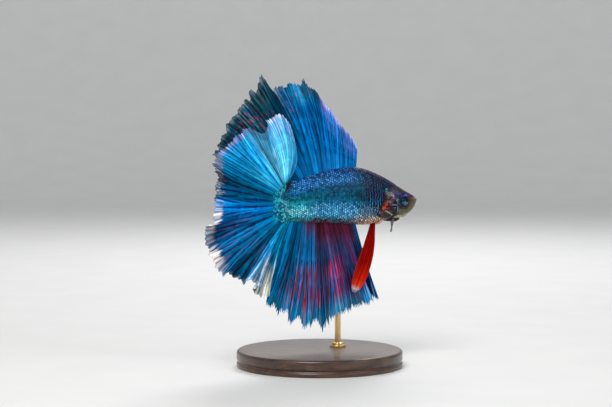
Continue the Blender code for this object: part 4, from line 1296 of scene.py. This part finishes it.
finPaint = {
    # film and ray colours from the front ray to the rear one, then patches laid over them: from where to
    # where down the fin, from where to where out along its rays, how soft, colour, strength, and the kind
    # of streaks that break it up
    "dorsal": {
        "valley": 0.75,  # painted shade: the share of their light that the valleys between folds keep
        "light": 1.22,
        "film": ((0.0, (0.0, 0.03, 0.13)), (0.3, (0.0, 0.035, 0.16)), (0.56, (0.0, 0.03, 0.12)),
                 (0.7, (0.0, 0.022, 0.07)), (0.8, (0.0, 0.02, 0.045)), (1.0, (0.0, 0.018, 0.035))),
        "ray": ((0.0, (0.0, 0.17, 0.52)), (0.2, (0.0, 0.19, 0.58)), (0.42, (0.0, 0.17, 0.54)),
                (0.58, (0.0, 0.14, 0.42)), (0.68, (0.0, 0.1, 0.29)), (0.78, (0.0, 0.065, 0.14)),
                (1.0, (0.0, 0.055, 0.095))),
        "patches": (
            (-0.1, 0.3, 0.9, 1.1, 0.1, (0.36, 0.4, 0.95), 0.9, "plain"),
            (0.2, 0.42, 0.93, 1.1, 0.06, (0.36, 0.38, 0.95), 0.85, "plain"),
            (-0.1, 0.4, 0.985, 1.1, 0.02, (0.6, 0.6, 0.95), 0.8, "plain"),
            (0.03, 0.2, 0.4, 0.95, 0.1, (0.14, 0.22, 0.7), 0.35, "plain"),
            (0.27, 0.4, 0.6, 0.95, 0.15, (0.08, 0.24, 0.75), 0.45, "plain"),
            (0.5, 0.66, 0.78, 1.1, 0.1, (0.0, 0.27, 0.52), 0.75, "plain"),
            (0.53, 0.65, 0.8, 0.96, 0.05, (0.5, 0.02, 0.05), 0.8, "dashes"),
            (0.38, 0.43, 0.78, 0.96, 0.05, (0.55, 0.01, 0.14), 0.9, "fine"),
            (0.675, 0.72, 0.7, 0.95, 0.06, (0.3, 0.006, 0.07), 0.8, "dashes"),
            (0.46, 0.54, 0.86, 1.1, 0.05, (0.03, 0.07, 0.08), 0.8, "plain"),
            (0.72, 1.05, 0.45, 1.1, 0.1, (0.0, 0.11, 0.14), 0.7, "wisps"),
            (0.74, 1.05, 0.55, 1.1, 0.1, (0.03, 0.1, 0.11), 0.5, "dashes"),
            (0.8, 1.05, 0.66, 0.9, 0.08, (0.04, 0.008, 0.018), 0.5, "fine"),
            (0.79, 1.05, 0.64, 0.9, 0.05, (0.42, 0.004, 0.03), 0.85, "dashes"),
            (0.7, 1.05, 0.84, 1.1, 0.08, (0.09, 0.15, 0.16), 0.6, "wisps"),
            (0.7, 1.05, 0.96, 1.1, 0.03, (0.15, 0.2, 0.23), 0.8, "plain"),
            (0.5, 0.9, -0.1, 0.3, 0.2, (0.0, 0.13, 0.4), 0.6, "plain"),
            (0.05, 0.66, -0.1, 0.2, 0.1, (0.01, 0.26, 0.66), 0.35, "plain"),
        ),
    },
    "anal": {
        "valley": 0.65,
        "light": 1.25,
        "film": ((0.0, (0.0, 0.03, 0.1)), (0.25, (0.012, 0.012, 0.05)), (0.55, (0.01, 0.012, 0.05)),
                 (0.8, (0.0, 0.025, 0.08)), (1.0, (0.0, 0.03, 0.08))),
        "ray": ((0.0, (0.0, 0.1, 0.3)), (0.2, (0.01, 0.07, 0.25)), (0.5, (0.0, 0.09, 0.27)),
                (0.75, (0.0, 0.14, 0.38)), (1.0, (0.0, 0.18, 0.42))),
        "patches": (
            (0.06, 0.62, -0.1, 0.22, 0.12, (0.07, 0.005, 0.009), 0.96, "plain"),
            (0.5, 0.78, -0.1, 0.1, 0.1, (0.06, 0.004, 0.01), 0.9, "plain"),
            (0.55, 0.86, -0.1, 0.34, 0.12, (0.07, 0.005, 0.012), 0.85, "bold"),
            (0.1, 0.6, 0.14, 0.5, 0.12, (0.09, 0.006, 0.02), 0.9, "bold"),
            (0.2, 0.66, 0.2, 0.55, 0.15, (0.02, 0.02, 0.06), 0.6, "plain"),
            (0.12, 0.5, 0.16, 0.6, 0.1, (0.16, 0.01, 0.07), 0.7, "fine"),
            (0.36, 0.86, 0.46, 0.95, 0.08, (0.5, 0.003, 0.012), 0.95, "bold"),
            (0.5, 0.8, 0.42, 0.8, 0.1, (0.12, 0.002, 0.01), 0.85, "fine"),
            (0.14, 0.45, 0.4, 0.92, 0.08, (0.34, 0.008, 0.08), 0.9, "bold"),
            (0.12, 0.36, 0.5, 1.0, 0.08, (0.2, 0.2, 0.6), 0.6, "fine"),
            (0.05, 0.26, 0.82, 1.1, 0.05, (0.26, 0.5, 0.85), 0.9, "bold"),
            (0.15, 1.1, 0.84, 1.1, 0.08, (0.01, 0.27, 0.55), 0.6, "plain"),
            (0.2, 0.75, 0.9, 1.1, 0.05, (0.08, 0.32, 0.46), 0.75, "bold"),
            (0.4, 0.62, 0.93, 1.1, 0.04, (0.16, 0.24, 0.28), 0.7, "fine"),
        ),
    },
    "caudal": {
        "valley": 0.5,
        "light": 1.35,
        "film": ((0.0, (0.01, 0.22, 0.46)), (0.14, (0.0, 0.18, 0.42)), (0.3, (0.0, 0.13, 0.36)),
                 (0.42, (0.0, 0.025, 0.08)), (0.52, (0.0, 0.02, 0.08)), (0.58, (0.0, 0.03, 0.13)),
                 (0.75, (0.0, 0.035, 0.12)), (1.0, (0.0, 0.045, 0.12))),
        "ray": ((0.0, (0.14, 0.52, 0.76)), (0.13, (0.06, 0.42, 0.72)), (0.28, (0.01, 0.3, 0.62)),
                (0.37, (0.0, 0.22, 0.46)), (0.43, (0.0, 0.11, 0.25)), (0.52, (0.0, 0.1, 0.26)),
                (0.58, (0.0, 0.16, 0.5)), (0.75, (0.0, 0.18, 0.42)), (0.9, (0.0, 0.2, 0.44)),
                (1.0, (0.0, 0.24, 0.42))),
        "patches": (
            (0.3, 1.1, -0.1, 0.14, 0.1, (0.0, 0.17, 0.25), 0.8, "plain"),
            (-0.1, 0.36, -0.1, 0.5, 0.2, (0.06, 0.6, 0.82), 0.7, "bold"),
            (-0.1, 0.18, -0.1, 0.86, 0.2, (0.04, 0.48, 0.84), 0.75, "plain"),
            (0.06, 0.19, 0.15, 0.95, 0.12, (0.08, 0.56, 0.95), 0.6, "plain"),
            (-0.1, 0.2, 0.1, 0.9, 0.2, (0.34, 0.74, 0.95), 0.75, "wisps"),
            (-0.1, 0.12, 0.7, 1.1, 0.12, (0.12, 0.34, 0.8), 0.7, "plain"),
            (-0.1, 0.12, 0.7, 1.1, 0.1, (0.4, 0.6, 0.95), 0.7, "wisps"),
            (-0.1, 0.03, -0.1, 0.9, 0.02, (0.0, 0.19, 0.55), 0.85, "plain"),
            (-0.1, 0.08, -0.1, 0.75, 0.04, (0.0, 0.27, 0.55), 0.7, "wisps"),
            (-0.1, 0.3, -0.1, 0.1, 0.06, (0.0, 0.2, 0.26), 0.85, "plain"),
            (-0.1, 0.13, 0.95, 1.1, 0.03, (0.5, 0.5, 0.62), 0.8, "plain"),
            (0.13, 0.36, 0.95, 1.1, 0.03, (0.26, 0.26, 0.5), 0.7, "plain"),
            (0.2, 0.36, 0.9, 1.0, 0.04, (0.42, 0.02, 0.16), 0.6, "dashes"),
            (0.34, 0.52, 0.92, 1.1, 0.03, (0.18, 0.2, 0.25), 0.8, "plain"),
            (0.38, 0.54, 0.88, 1.1, 0.04, (0.55, 0.55, 0.55), 0.75, "dashes"),
            (0.44, 0.54, 0.88, 0.98, 0.03, (0.25, 0.03, 0.03), 0.45, "fine"),
            (0.585, 0.66, 0.89, 1.1, 0.03, (1.0, 0.96, 0.92), 1.4, "plain"),
            (0.66, 0.95, 0.96, 1.1, 0.02, (0.3, 0.36, 0.48), 0.7, "plain"),
            (0.65, 0.7, 0.92, 1.1, 0.04, (0.85, 0.85, 0.88), 0.95, "fine"),
            (0.705, 0.75, 0.88, 1.1, 0.03, (1.0, 0.9, 0.84), 1.1, "plain"),
            (0.83, 0.875, 0.93, 1.1, 0.03, (0.8, 0.72, 0.66), 0.85, "fine"),
            (0.942, 1.1, 0.66, 1.1, 0.14, (0.62, 0.66, 0.58), 0.9, "plain"),
            (0.93, 1.1, 0.6, 1.1, 0.14, (0.95, 0.95, 0.86), 0.9, "fine"),
            (0.875, 0.94, 0.2, 1.1, 0.08, (0.0, 0.07, 0.17), 0.6, "plain"),
            (0.6, 0.93, 0.4, 0.92, 0.1, (0.2, 0.01, 0.12), 0.32, "fine"),
            (0.62, 0.9, 0.2, 0.9, 0.1, (0.0, 0.006, 0.03), 0.6, "bold"),
        ),
    },
}


def finLook(name, rays, joints):
    # film, rays, patches and streaks; the streaks are noise drawn out along the rays
    paint = finPaint[name]
    look = Look(name + " fin", Specular_IOR_Level=0.03, Coat_Weight=0.0)
    t, r, onRay = look.split(look.fact("finPlace", 1))

    def streak(acrossRays, alongRays, start, scale=1.0, detail=1.0, roughness=0.5):
        where = look.join(t * (rays * acrossRays), r * alongRays, start)
        return look.noise(where, scale, detail, roughness)

    fan = streak(1.0, 0.9, 0.0, 0.8, 3.0, 0.6)
    fine = streak(8.0, 2.0, 0.0, 0.9, 2.0)
    hair = streak(15.0, 1.4, 5.0, 1.0, 2.0)
    dapple = streak(1.0, 14.0, 3.0, 0.9, 3.0, 0.6)
    bold = streak(3.6, 1.6, 7.0)
    thin = streak(8.0, 2.6, 11.0)
    streaks = {
        "bold": look.spread(bold, 0.54, 0.61),
        "fine": look.spread(thin, 0.55, 0.62),
        "dashes": look.spread(streak(20.0, 13.0, 17.0), 0.59, 0.65),
        "wisps": look.spread(streak(18.0, 3.0, 23.0), 0.5, 0.6),
    }
    line = look.spread(onRay, 0.06, 0.42)
    colour = look.mix(line * look.spread(fan, 0.25, 0.7, 0.6, 1.0), look.ramp(t, paint["film"]),
                      look.ramp(t, paint["ray"]))
    # patches have wandering, ragged borders and are stronger on the rays
    wander = (fan - 0.5) * 0.08 + (bold - 0.5) * 0.06
    ragged = r + wander + (thin - 0.5) * 0.1 + (hair - 0.5) * 0.06
    onLine = look.spread(line, 0.0, 1.0, 0.5, 1.0)
    for front, rear, inner, outer, soft, patch, strength, kind in paint["patches"]:
        mask = look.between(t + wander, front, rear, min(soft, 0.05))
        mask = mask * look.between(ragged, inner, outer, soft) * strength * onLine
        if kind in streaks:
            mask = mask * streaks[kind]
        colour = look.mix(mask, colour, patch)
    light = look.spread(fan, 0.25, 0.75, 0.7, 1.3) * look.spread(fine, 0.3, 0.7, 0.7, 1.3) * paint["light"]
    light = light * look.spread(dapple, 0.3, 0.7, 0.85, 1.15) * look.spread(hair, 0.36, 0.64, 0.6, 1.5)
    light = light * look.spread(look.fact("tone"), -1.8, 1.8, 0.68, 1.4)
    # painted shade in the valleys between folds
    light = light * look.spread(look.fact("valley"), 0.35, 0.95, 1.0, paint["valley"])
    segments = (r * joints).sine() * onRay
    return look.finish(
        Base_Color=look.shade(colour, light),
        Roughness=look.spread(fine, 0.3, 0.7, 0.32, 0.5),
        Metallic=line * 0.3 + 0.1,
        Normal=look.bump(segments * 0.4 + fine, 0.3, 0.06 * mm),
    )


# Paired fins

pelvic = {
    "station": 15.8,
    "height": -7.25,
    "side": 1.2,
    "lead": 0.6,  # how far the left one starts ahead of the right one
    "length": 22.2,
    "curl": 6.0,  # degrees from root to tip
    "right": (19.0, 7.5, 1.0),  # degrees back from hanging straight down, degrees outwards, how far open
    "left": (11.0, 2.5, 0.7),
    "width": ((0, 1.1), (0.12, 2.0), (0.3, 3.6), (0.5, 4.5), (0.72, 4.7), (0.86, 3.8), (0.95, 2.4), (1, 1.0)),
    "thickness": 0.13,
    "rays": 6,
    "cup": 0.06,
    "columns": 72,
    "rows": 110,
    "colours": (
        (0.0, (0.16, 0.001, 0.001)), (0.2, (0.18, 0.001, 0.001)), (0.55, (0.24, 0.002, 0.002)),
        (0.82, (0.46, 0.012, 0.004)), (0.93, (0.62, 0.05, 0.02)), (0.97, (0.6, 0.42, 0.42)),
        (1.0, (0.45, 0.6, 0.75)),
    ),
    "rayColour": (0.6, 0.02, 0.01),
    "hindEdge": (0.3, 0.02, 0.03),
}
pectoral = {
    "station": 15.9,
    "height": -2.6,
    "length": 8.6,
    "spread": 36.0,  # degrees that it fans out
    "curl": 8.0,
    "right": (72.0, 16.0, 1.0),
    "left": (-46.0, 26.0, 1.0),
    "thickness": 0.05,
    "rays": 11,
    "cup": 0.03,
    "rootWidth": 1.2,
    "columns": 132,
    "rows": 60,
    "colours": ((0.16, 0.18, 0.26), (0.32, 0.38, 0.46)),
}
blade = {
    # of each paired fin
    "fork": (0.45, 0.7),  # where its rays fork, as a share of their length
    "fringe": 0.05,  # how far the film hangs back between the rays, as a share of them
    "ripple": 0.09,
}


def bladeWidth(fin, r):
    if fin is pelvic:
        return along(fin["width"], r)
    fan = math.tan(math.radians(fin["spread"] / 2)) * 2 * fin["length"]
    return fin["rootWidth"] + fan * r * np.sqrt(1.02 - r**3)


def bladePlace(fin, root, pose, sign, t, r):
    # station, height and side on a paired fin: t runs across it from behind, r from the root to the tip
    back, out, openness = pose
    across = (t - 0.5) * bladeWidth(fin, r) * openness
    reach = fin["length"] * r
    lean = np.radians(back + fin["curl"] * (r - 0.5))
    station = root[0] + reach * np.sin(lean) - across * np.cos(lean)
    height = root[1] - reach * np.cos(lean) - across * np.sin(lean)
    side = root[2] + sign * (reach * math.tan(math.radians(out)) + fin["cup"] * across**2)
    return station, height, side


def gridNormal(middle):
    return unit(np.cross(np.gradient(middle, axis=1), np.gradient(middle, axis=0)))


def thinSheet(middle, thick):
    # a sheet round a grid of points, thick mm to each side, closed round its border
    lift = gridNormal(middle) * (thick * mm)[..., None]
    points = np.concatenate([(middle + lift).reshape(-1, 3), (middle - lift).reshape(-1, 3)])
    return points, sheetQuads(*middle.shape[:2])


def bothFaces(*facts):
    # three numbers for each point of a sheet, the same on both faces
    return np.tile(np.stack(facts, -1).reshape(-1, 3), (2, 1))


def buildBlade(name, fin, root, hand, sign, look, slot):
    t, r = np.meshgrid(np.linspace(0, 1, fin["columns"]), np.linspace(0, 1, fin["rows"]))
    # each ray forks once on its way out
    turn = 2 * math.pi * fin["rays"] * t
    fork = rise(r, *blade["fork"])
    onRay = (0.5 - 0.5 * np.cos(turn)) ** 1.5 * (1 - fork) + (0.5 - 0.5 * np.cos(2 * turn)) ** 1.5 * fork
    reach = r * (1 + blade["fringe"] * (onRay - 1) * rise(r, 0.6, 1.0))
    middle = place(*bladePlace(fin, root, fin[hand], sign, t, reach))
    ripple = blade["ripple"] * np.sin(turn / 2 + 3 * r) * r
    middle = middle + gridNormal(middle) * ripple[..., None] * mm
    thick = fin["thickness"] * (0.35 + 0.65 * onRay) * (1.1 - 0.7 * r)
    points, quads = thinSheet(middle, thick * (1 - 0.6 * rise(np.abs(2 * t - 1), 0.9, 1.0)))
    flat = np.stack([0.02 + 0.96 * t, 0.01 + 0.47 * r], -1).reshape(-1, 2)
    corner = np.concatenate([flat, flat + (0, 0.5)])
    piece = makePiece(f"{name}_{hand}", points, quads, {"finPlace": bothFaces(t, r, onRay)}, corner[quads])
    return finishPiece(piece, look, slot, f"fin_{name}_{hand}")


def pelvicLook():
    look = Look("pelvic fin", Specular_IOR_Level=0.0)
    t, r, onRay = look.split(look.fact("finPlace", 1))
    streak = look.noise(look.join(t * 14.0, r * 2.0, 0.0), 1.0, 3.0, 0.6)
    colour = look.shade(look.ramp(r, pelvic["colours"]), look.spread(streak, 0.3, 0.7, 0.45, 1.35))
    colour = look.mix(look.spread(onRay, 0.4, 1.0) * 0.3, colour, pelvic["rayColour"])
    hind = look.spread(t, 0.0, 0.12, 0.55, 0) * look.between(r, 0.25, 0.8, 0.1)
    return look.finish(
        Base_Color=look.mix(hind, colour, pelvic["hindEdge"]),
        Roughness=look.spread(streak, 0.3, 0.7, 0.4, 0.6),
        Normal=look.bump(streak, 0.3, 0.08 * mm),
    )


def pectoralLook():
    look = Look("pectoral fin", Coat_Roughness=0.15, Specular_IOR_Level=0.5)
    t, r, onRay = look.split(look.fact("finPlace", 1))
    streak = look.noise(look.join(t * 20.0, r * 3.0, 0.0), 1.0, 2.0)
    return look.finish(
        Base_Color=look.mix(look.spread(r, 0.0, 0.5), *pectoral["colours"]),
        Roughness=look.spread(streak, 0.3, 0.7, 0.25, 0.4),
        Alpha=look.spread(onRay, 0.3, 0.95, 0.02, 0.2) * look.spread(r, 0.3, 1.0, 1.0, 0.35),
        Coat_Weight=0.1,
    )


def buildPairedFins():
    red, clear = pelvicLook(), pectoralLook()
    halfWidth = float(section(np.array(pectoral["station"]))[2])
    for hand, sign, lead in (("right", -1, 0), ("left", 1, pelvic["lead"])):
        root = (pelvic["station"] - lead, pelvic["height"], sign * pelvic["side"])
        buildBlade("pelvic", pelvic, root, hand, sign, red, "fin_red")
        root = (pectoral["station"], pectoral["height"], sign * (halfWidth + 0.2))
        buildBlade("pectoral", pectoral, root, hand, sign, clear, "fin_clear")


# Gill membranes

membrane = {
    "front": 6.2,
    "back": 10.9,
    "side": 1.5,
    "drop": 0.68,
    "pleats": 5,
    "thickness": 0.07,
    "columns": 96,
    "rows": 28,
    "colours": ((0.25, (0.008, 0.001, 0.002)), (0.55, (0.04, 0.002, 0.004)), (0.8, (0.1, 0.006, 0.01))),
    "hindColour": (0.02, 0.004, 0.006),
}
tag = {
    "station": 9.1,
    "height": -6.3,
    "side": -1.5,
    "length": 3.9,
    "width": 0.9,
    "lean": 14.0,
    "thickness": 0.05,
    "columns": 12,
    "rows": 40,
    "colours": ((0.05, 0.05, 0.055), (0.17, 0.17, 0.18)),
    "mark": 2,  # tells the tag from a membrane, whose points hold a pleat's height of 1 at the most
}


def membraneLook():
    # one look for the membranes and the tag
    look = Look("gill membrane", Coat_Roughness=0.2, Specular_IOR_Level=0.2)
    t, r, pleat = look.split(look.fact("finPlace", 1))
    cloud = look.noise(look.join(t * 9.0, r * 2.0, 0.0), 1.0, 3.0)
    colour = look.ramp(cloud, membrane["colours"])
    colour = look.mix(look.spread(t, 0.6, 0.9) * 0.6, colour, membrane["hindColour"])
    onTag = look.spread(pleat, 1.5, tag["mark"])
    colour = look.mix(onTag, colour, look.mix(cloud, *tag["colours"]))
    return look.finish(
        Base_Color=colour,
        Roughness=0.38,
        Coat_Weight=0.1,
        Normal=look.bump(cloud, 0.4, 0.1 * mm),
    )


def buildMembrane(name, sign, look):
    t, r = np.meshgrid(np.linspace(0, 1, membrane["columns"]), np.linspace(0, 1, membrane["rows"]))
    station = membrane["front"] + (membrane["back"] - membrane["front"]) * t
    belly = section(station)[1]
    overlap = 0.35  # how far it reaches up behind the skin
    drop = membrane["drop"] * (0.3 + 0.7 * np.sin(math.pi * t**0.9)) + 0.12
    pleat = np.cos(2 * math.pi * membrane["pleats"] * t)
    height = -belly + overlap - (drop + overlap) * r * (1 + 0.06 * pleat)
    side = sign * (membrane["side"] * (0.35 + 0.65 * t) + 0.3 * r) + 0.07 * pleat * r
    thick = (membrane["thickness"] + 0.05 * (0.5 + 0.5 * pleat)) * (1.1 - 0.8 * r)
    points, quads = thinSheet(place(station + 0.4 * r, height, side), thick)
    piece = makePiece(name, points, quads, {"finPlace": bothFaces(t, r, pleat)})
    return finishPiece(piece, look, "membrane", "gill_" + name)


def buildTag(look):
    # a loose dark tag of skin that hangs from the right membrane
    t, r = np.meshgrid(np.linspace(-0.5, 0.5, tag["columns"]), np.linspace(0, 1, tag["rows"]))
    drop = tag["length"] * r
    wide = tag["width"] * (0.75 + 0.3 * np.sin(r * 7.0)) * (1 - 0.5 * rise(r, 0.85, 1.0))
    lean = math.tan(math.radians(tag["lean"]))
    station = tag["station"] + drop * lean + t * wide + 0.16 * np.sin(r * 5.0)
    side = tag["side"] + 0.12 * np.cos(r * 6.0) + 0.1 * t
    points, quads = thinSheet(place(station, tag["height"] - drop, side), tag["thickness"] * (1.2 - 0.6 * r))
    facts = {"finPlace": bothFaces(t, r, 0 * t + tag["mark"])}
    return finishPiece(makePiece("membrane_tag", points, quads, facts), look, "membrane")


# Stand

stand = {
    "radius": 25.0,
    "thickness": 5.0,
    "rounding": 0.9,
    "footRounding": 0.4,
    "coveDepth": 0.5,
    "coveHeight": 1.7,
    "rodStation": 26.3,
    "rodSide": 2.3,
    "rodRadius": 0.9,
    "rodRounding": 0.35,
    "rodTop": -2.2,  # over the body's axis, inside the belly
    "rodSink": 3.0,  # into the base
    "collarRadius": 2.4,
    "collarHeight": 1.6,
    "gap": 0.03,
    "wood": ((0.3, (0.022, 0.009, 0.005)), (0.5, (0.06, 0.025, 0.012)), (0.7, (0.12, 0.055, 0.028))),
    "pores": (0.012, 0.005, 0.003),
    "brass": ((0.62, 0.42, 0.17), (0.78, 0.57, 0.28)),
}


def lathe(profile, sides, centre=(0, 0)):
    # spins a profile of (radius, height) in mm round an upright line: the points in metres, and the quads
    profile = np.array(profile)
    turn = np.arange(sides) / sides * 2 * math.pi
    radius, angle = np.meshgrid(profile[:, 0], turn, indexing="ij")
    height = profile[:, 1][:, None] + 0 * radius
    points = np.stack([centre[0] + radius * np.cos(angle), centre[1] + radius * np.sin(angle), height], -1)
    return points * mm, gridQuads(len(profile), sides, closed=True)


def turned(name, profile, centre, sides, look, slot, node):
    points, quads = lathe(profile, sides, centre)
    piece = makePiece(name, points, quads, {"turnPlace": points.reshape(-1, 3) / mm})
    piece.data.set_sharp_from_angle(angle=math.radians(50))
    return finishPiece(piece, look, slot, node)


def arc(centre, radius, start, end, count):
    turn = np.radians(np.linspace(start, end, count))
    return [(centre[0] + radius * math.cos(a), centre[1] + radius * math.sin(a)) for a in turn]


def woodLook():
    look = Look("walnut", Coat_Roughness=0.16, Specular_IOR_Level=0.45)
    x, y, z = look.split(look.fact("turnPlace", 1))
    drift = look.noise(look.join(x * 0.3, y * 1.0, z * 1.0), 0.09, 3.0)
    rings = look.noise(look.join(x * 0.05, y + drift * 9.0, z * 1.2), 0.55, 4.0, 0.6)
    pores = look.noise(look.join(x * 0.35, y * 6.0, z * 6.0), 1.3, 2.0)
    colour = look.ramp(rings, stand["wood"])
    colour = look.mix(look.spread(pores, 0.58, 0.68) * 0.6, colour, stand["pores"])
    return look.finish(
        Base_Color=colour,
        Roughness=look.spread(rings, 0.3, 0.7, 0.36, 0.5),
        Coat_Weight=0.5,
        Normal=look.bump(pores + rings * 0.5, 0.15, 0.1 * mm),
    )


def brassLook():
    look = Look("brass", Specular_IOR_Level=0.5)
    x, y, z = look.split(look.fact("turnPlace", 1))
    turn = look.noise(look.join(x * 0.4, y * 0.4, z * 12.0), 2.0, 3.0)
    return look.finish(
        Base_Color=look.mix(look.spread(turn, 0.3, 0.7), *stand["brass"]),
        Metallic=1.0,
        Roughness=look.spread(turn, 0.3, 0.7, 0.2, 0.32),
        Normal=look.bump(turn, 0.1, 0.04 * mm),
    )


def buildStand():
    wood, brass = woodLook(), brassLook()
    top, rim, rounding, foot = (stand[part] for part in ("thickness", "radius", "rounding", "footRounding"))
    base = [(0.02, 0), (8, 0), (16, 0), (rim - 1.5, 0)]
    base += arc((rim - foot, foot), foot, -90, 0, 6)
    for h in np.linspace(0.6, 3.4, 29):
        base.append((rim - stand["coveDepth"] * hump(h - stand["coveHeight"], 0.42), h))
    base += arc((rim - rounding, top - rounding), rounding, 0, 90, 10)
    base += [(r, top) for r in (rim - 3, rim - 6, rim - 12, 8, 2, 0.02)]
    turned("base", base, (0, 0), 192, wood, "wood", "stand_base")
    centre = (place(stand["rodStation"], 0, stand["rodSide"]) / mm)[:2]
    r, bevel = stand["rodRadius"], stand["rodRounding"]
    low, crown = top - stand["rodSink"], body["axisHeight"] + stand["rodTop"]
    rod = [(0.01, low), (r, low)] + [(r, h) for h in np.linspace(low + 1, crown - 0.4, 24)]
    rod += arc((r - bevel, crown - bevel), bevel, 0, 90, 5) + [(0.01, crown)]
    turned("rod", rod, centre, 48, brass, "brass", "stand_rod")
    bore, outer = r + 0.06, stand["collarRadius"]
    low = top + stand["gap"]
    high = low + stand["collarHeight"]
    collar = [(bore, low), (outer, low)] + arc((outer - 0.3, low + 0.5), 0.3, -10, 60, 6)
    collar += [(outer - 0.55, low + 0.8)] + arc((outer - 0.75, low + 1.1), 0.28, -60, 90, 8)
    collar += [(r + 0.35, high - 0.15), (r + 0.2, high), (bore, high), (bore, low)]
    turned("collar", collar, centre, 64, brass, "brass", "stand_collar")


# Studio

camera = {"azimuth": -25.0, "elevation": 3.0, "distance": 0.51, "lens": 100.0, "aim": (0.0041, 0.04895)}
lamps = (
    # azimuth and height over the floor (degrees), distance and size (m), power (W), colour
    ("key", -45, 50, 0.55, 0.26, 2.0, (1.0, 0.98, 0.95)),
    ("fill", 30, 25, 0.6, 0.3, 0.6, (0.92, 0.96, 1.0)),
    ("left", 150, 42, 0.6, 0.3, 1.9, (1.0, 1.0, 1.0)),
)
wash = {  # lamps that wash the backdrop, aimed outwards and down
    "azimuths": (65, 155, 245, 335),
    "distance": 0.55,
    "height": 0.95,
    "slope": 0.45,
    "size": 0.5,
    "power": 2.4,
}
backdrop = {  # mm: a round pale floor that curves up into the backdrop all round
    "floor": (0.001, 60, 200, 400, 700, 900),
    "curve": 500,
    "top": 1200,
    "sides": 96,
    "colours": ((0.74, 0.74, 0.74), (0.76, 0.76, 0.755)),
}
lampAim = Vector((0, 0, 0.045))
skyColour = (0.8, 0.82, 0.85, 1)
skyStrength = 0.3


def toward(azimuth, elevation):
    a, e = math.radians(azimuth), math.radians(elevation)
    return Vector((math.sin(a) * math.cos(e), -math.cos(a) * math.cos(e), math.sin(e)))


def setUp(name, data, spot, facing):
    # an object at a spot, its -Z turned the way it faces
    made = bpy.data.objects.new(name, data)
    made.location = spot
    made.rotation_euler = facing.to_track_quat("-Z", "Y").to_euler()
    bpy.context.scene.collection.objects.link(made)
    return made


def setLamp(name, size, power, colour, spot, facing):
    lamp = bpy.data.lights.new(name, "AREA")
    lamp.shape = "DISK"
    lamp.size = size
    lamp.energy = power
    lamp.color = colour
    setUp(name, lamp, spot, facing)


def setCamera():
    a = math.radians(camera["azimuth"])
    right = Vector((math.cos(a), math.sin(a), 0))
    aim = Vector((0, 0, camera["aim"][1])) - right * camera["aim"][0]
    back = toward(camera["azimuth"], camera["elevation"])
    lens = bpy.data.cameras.new("camera")
    lens.lens = camera["lens"]
    lens.sensor_width = 36
    lens.clip_start = 0.01
    bpy.context.scene.camera = setUp("camera", lens, aim + back * camera["distance"], -back)


def buildBackdrop():
    look = Look("floor", Roughness=0.7, Specular_IOR_Level=0.2)
    where = look.node("ShaderNodeTexCoord", None, None, 3)
    grain = look.noise(where, 40.0, 3.0)
    look.finish(Base_Color=look.mix(look.spread(grain, 0.3, 0.7), *backdrop["colours"]))
    edge, curve = backdrop["floor"][-1], backdrop["curve"]
    profile = [(r, 0.0) for r in backdrop["floor"]]
    for a in np.radians(np.arange(5, 91, 5)):
        profile.append((edge + curve * math.sin(a), curve - curve * math.cos(a)))
    profile.append((edge + curve, backdrop["top"]))
    floor = makePiece("floor", *lathe(profile, backdrop["sides"]))
    floor.data.materials.append(look.material)


def buildStudio():
    setCamera()
    for name, azimuth, elevation, distance, size, power, colour in lamps:
        away = toward(azimuth, elevation)
        setLamp(name, size, power, colour, lampAim + away * distance, -away)
    for azimuth in wash["azimuths"]:
        away = toward(azimuth, 0)
        spot = away * wash["distance"] + Vector((0, 0, wash["height"]))
        setLamp("wash", wash["size"], wash["power"], (1, 1, 1), spot, away - Vector((0, 0, wash["slope"])))
    scene = bpy.context.scene
    scene.world = bpy.data.worlds.new("studio")
    scene.world.use_nodes = True
    background = scene.world.node_tree.nodes["Background"]
    background.inputs[0].default_value = skyColour
    background.inputs[1].default_value = skyStrength
    scene.view_settings.view_transform = "Standard"
    buildBackdrop()


buildSkin(skinLook())
print("skin done")
scaleFinish = scaleLook()
buildScales(scaleFinish)
buildTailScales(scaleFinish)
eyeFinish = eyeLook()
buildEye("eyeball_right", "eye_right", -1, eyeFinish)
buildEye("eyeball_left", "eye_left", 1, eyeFinish)
for name, fin in (("dorsal", dorsal), ("anal", anal), ("caudal", caudal)):
    buildFin(name, fin, finLook(name, fin["rays"], fin["joints"]), "fin_blue", "fin_" + name)
print("middle fins done")
buildPairedFins()
gillFinish = membraneLook()
buildMembrane("membrane_right", -1, gillFinish)
buildMembrane("membrane_left", 1, gillFinish)
buildTag(gillFinish)
print("paired fins and gills done")
buildStand()
buildStudio()
print("stand and studio done")
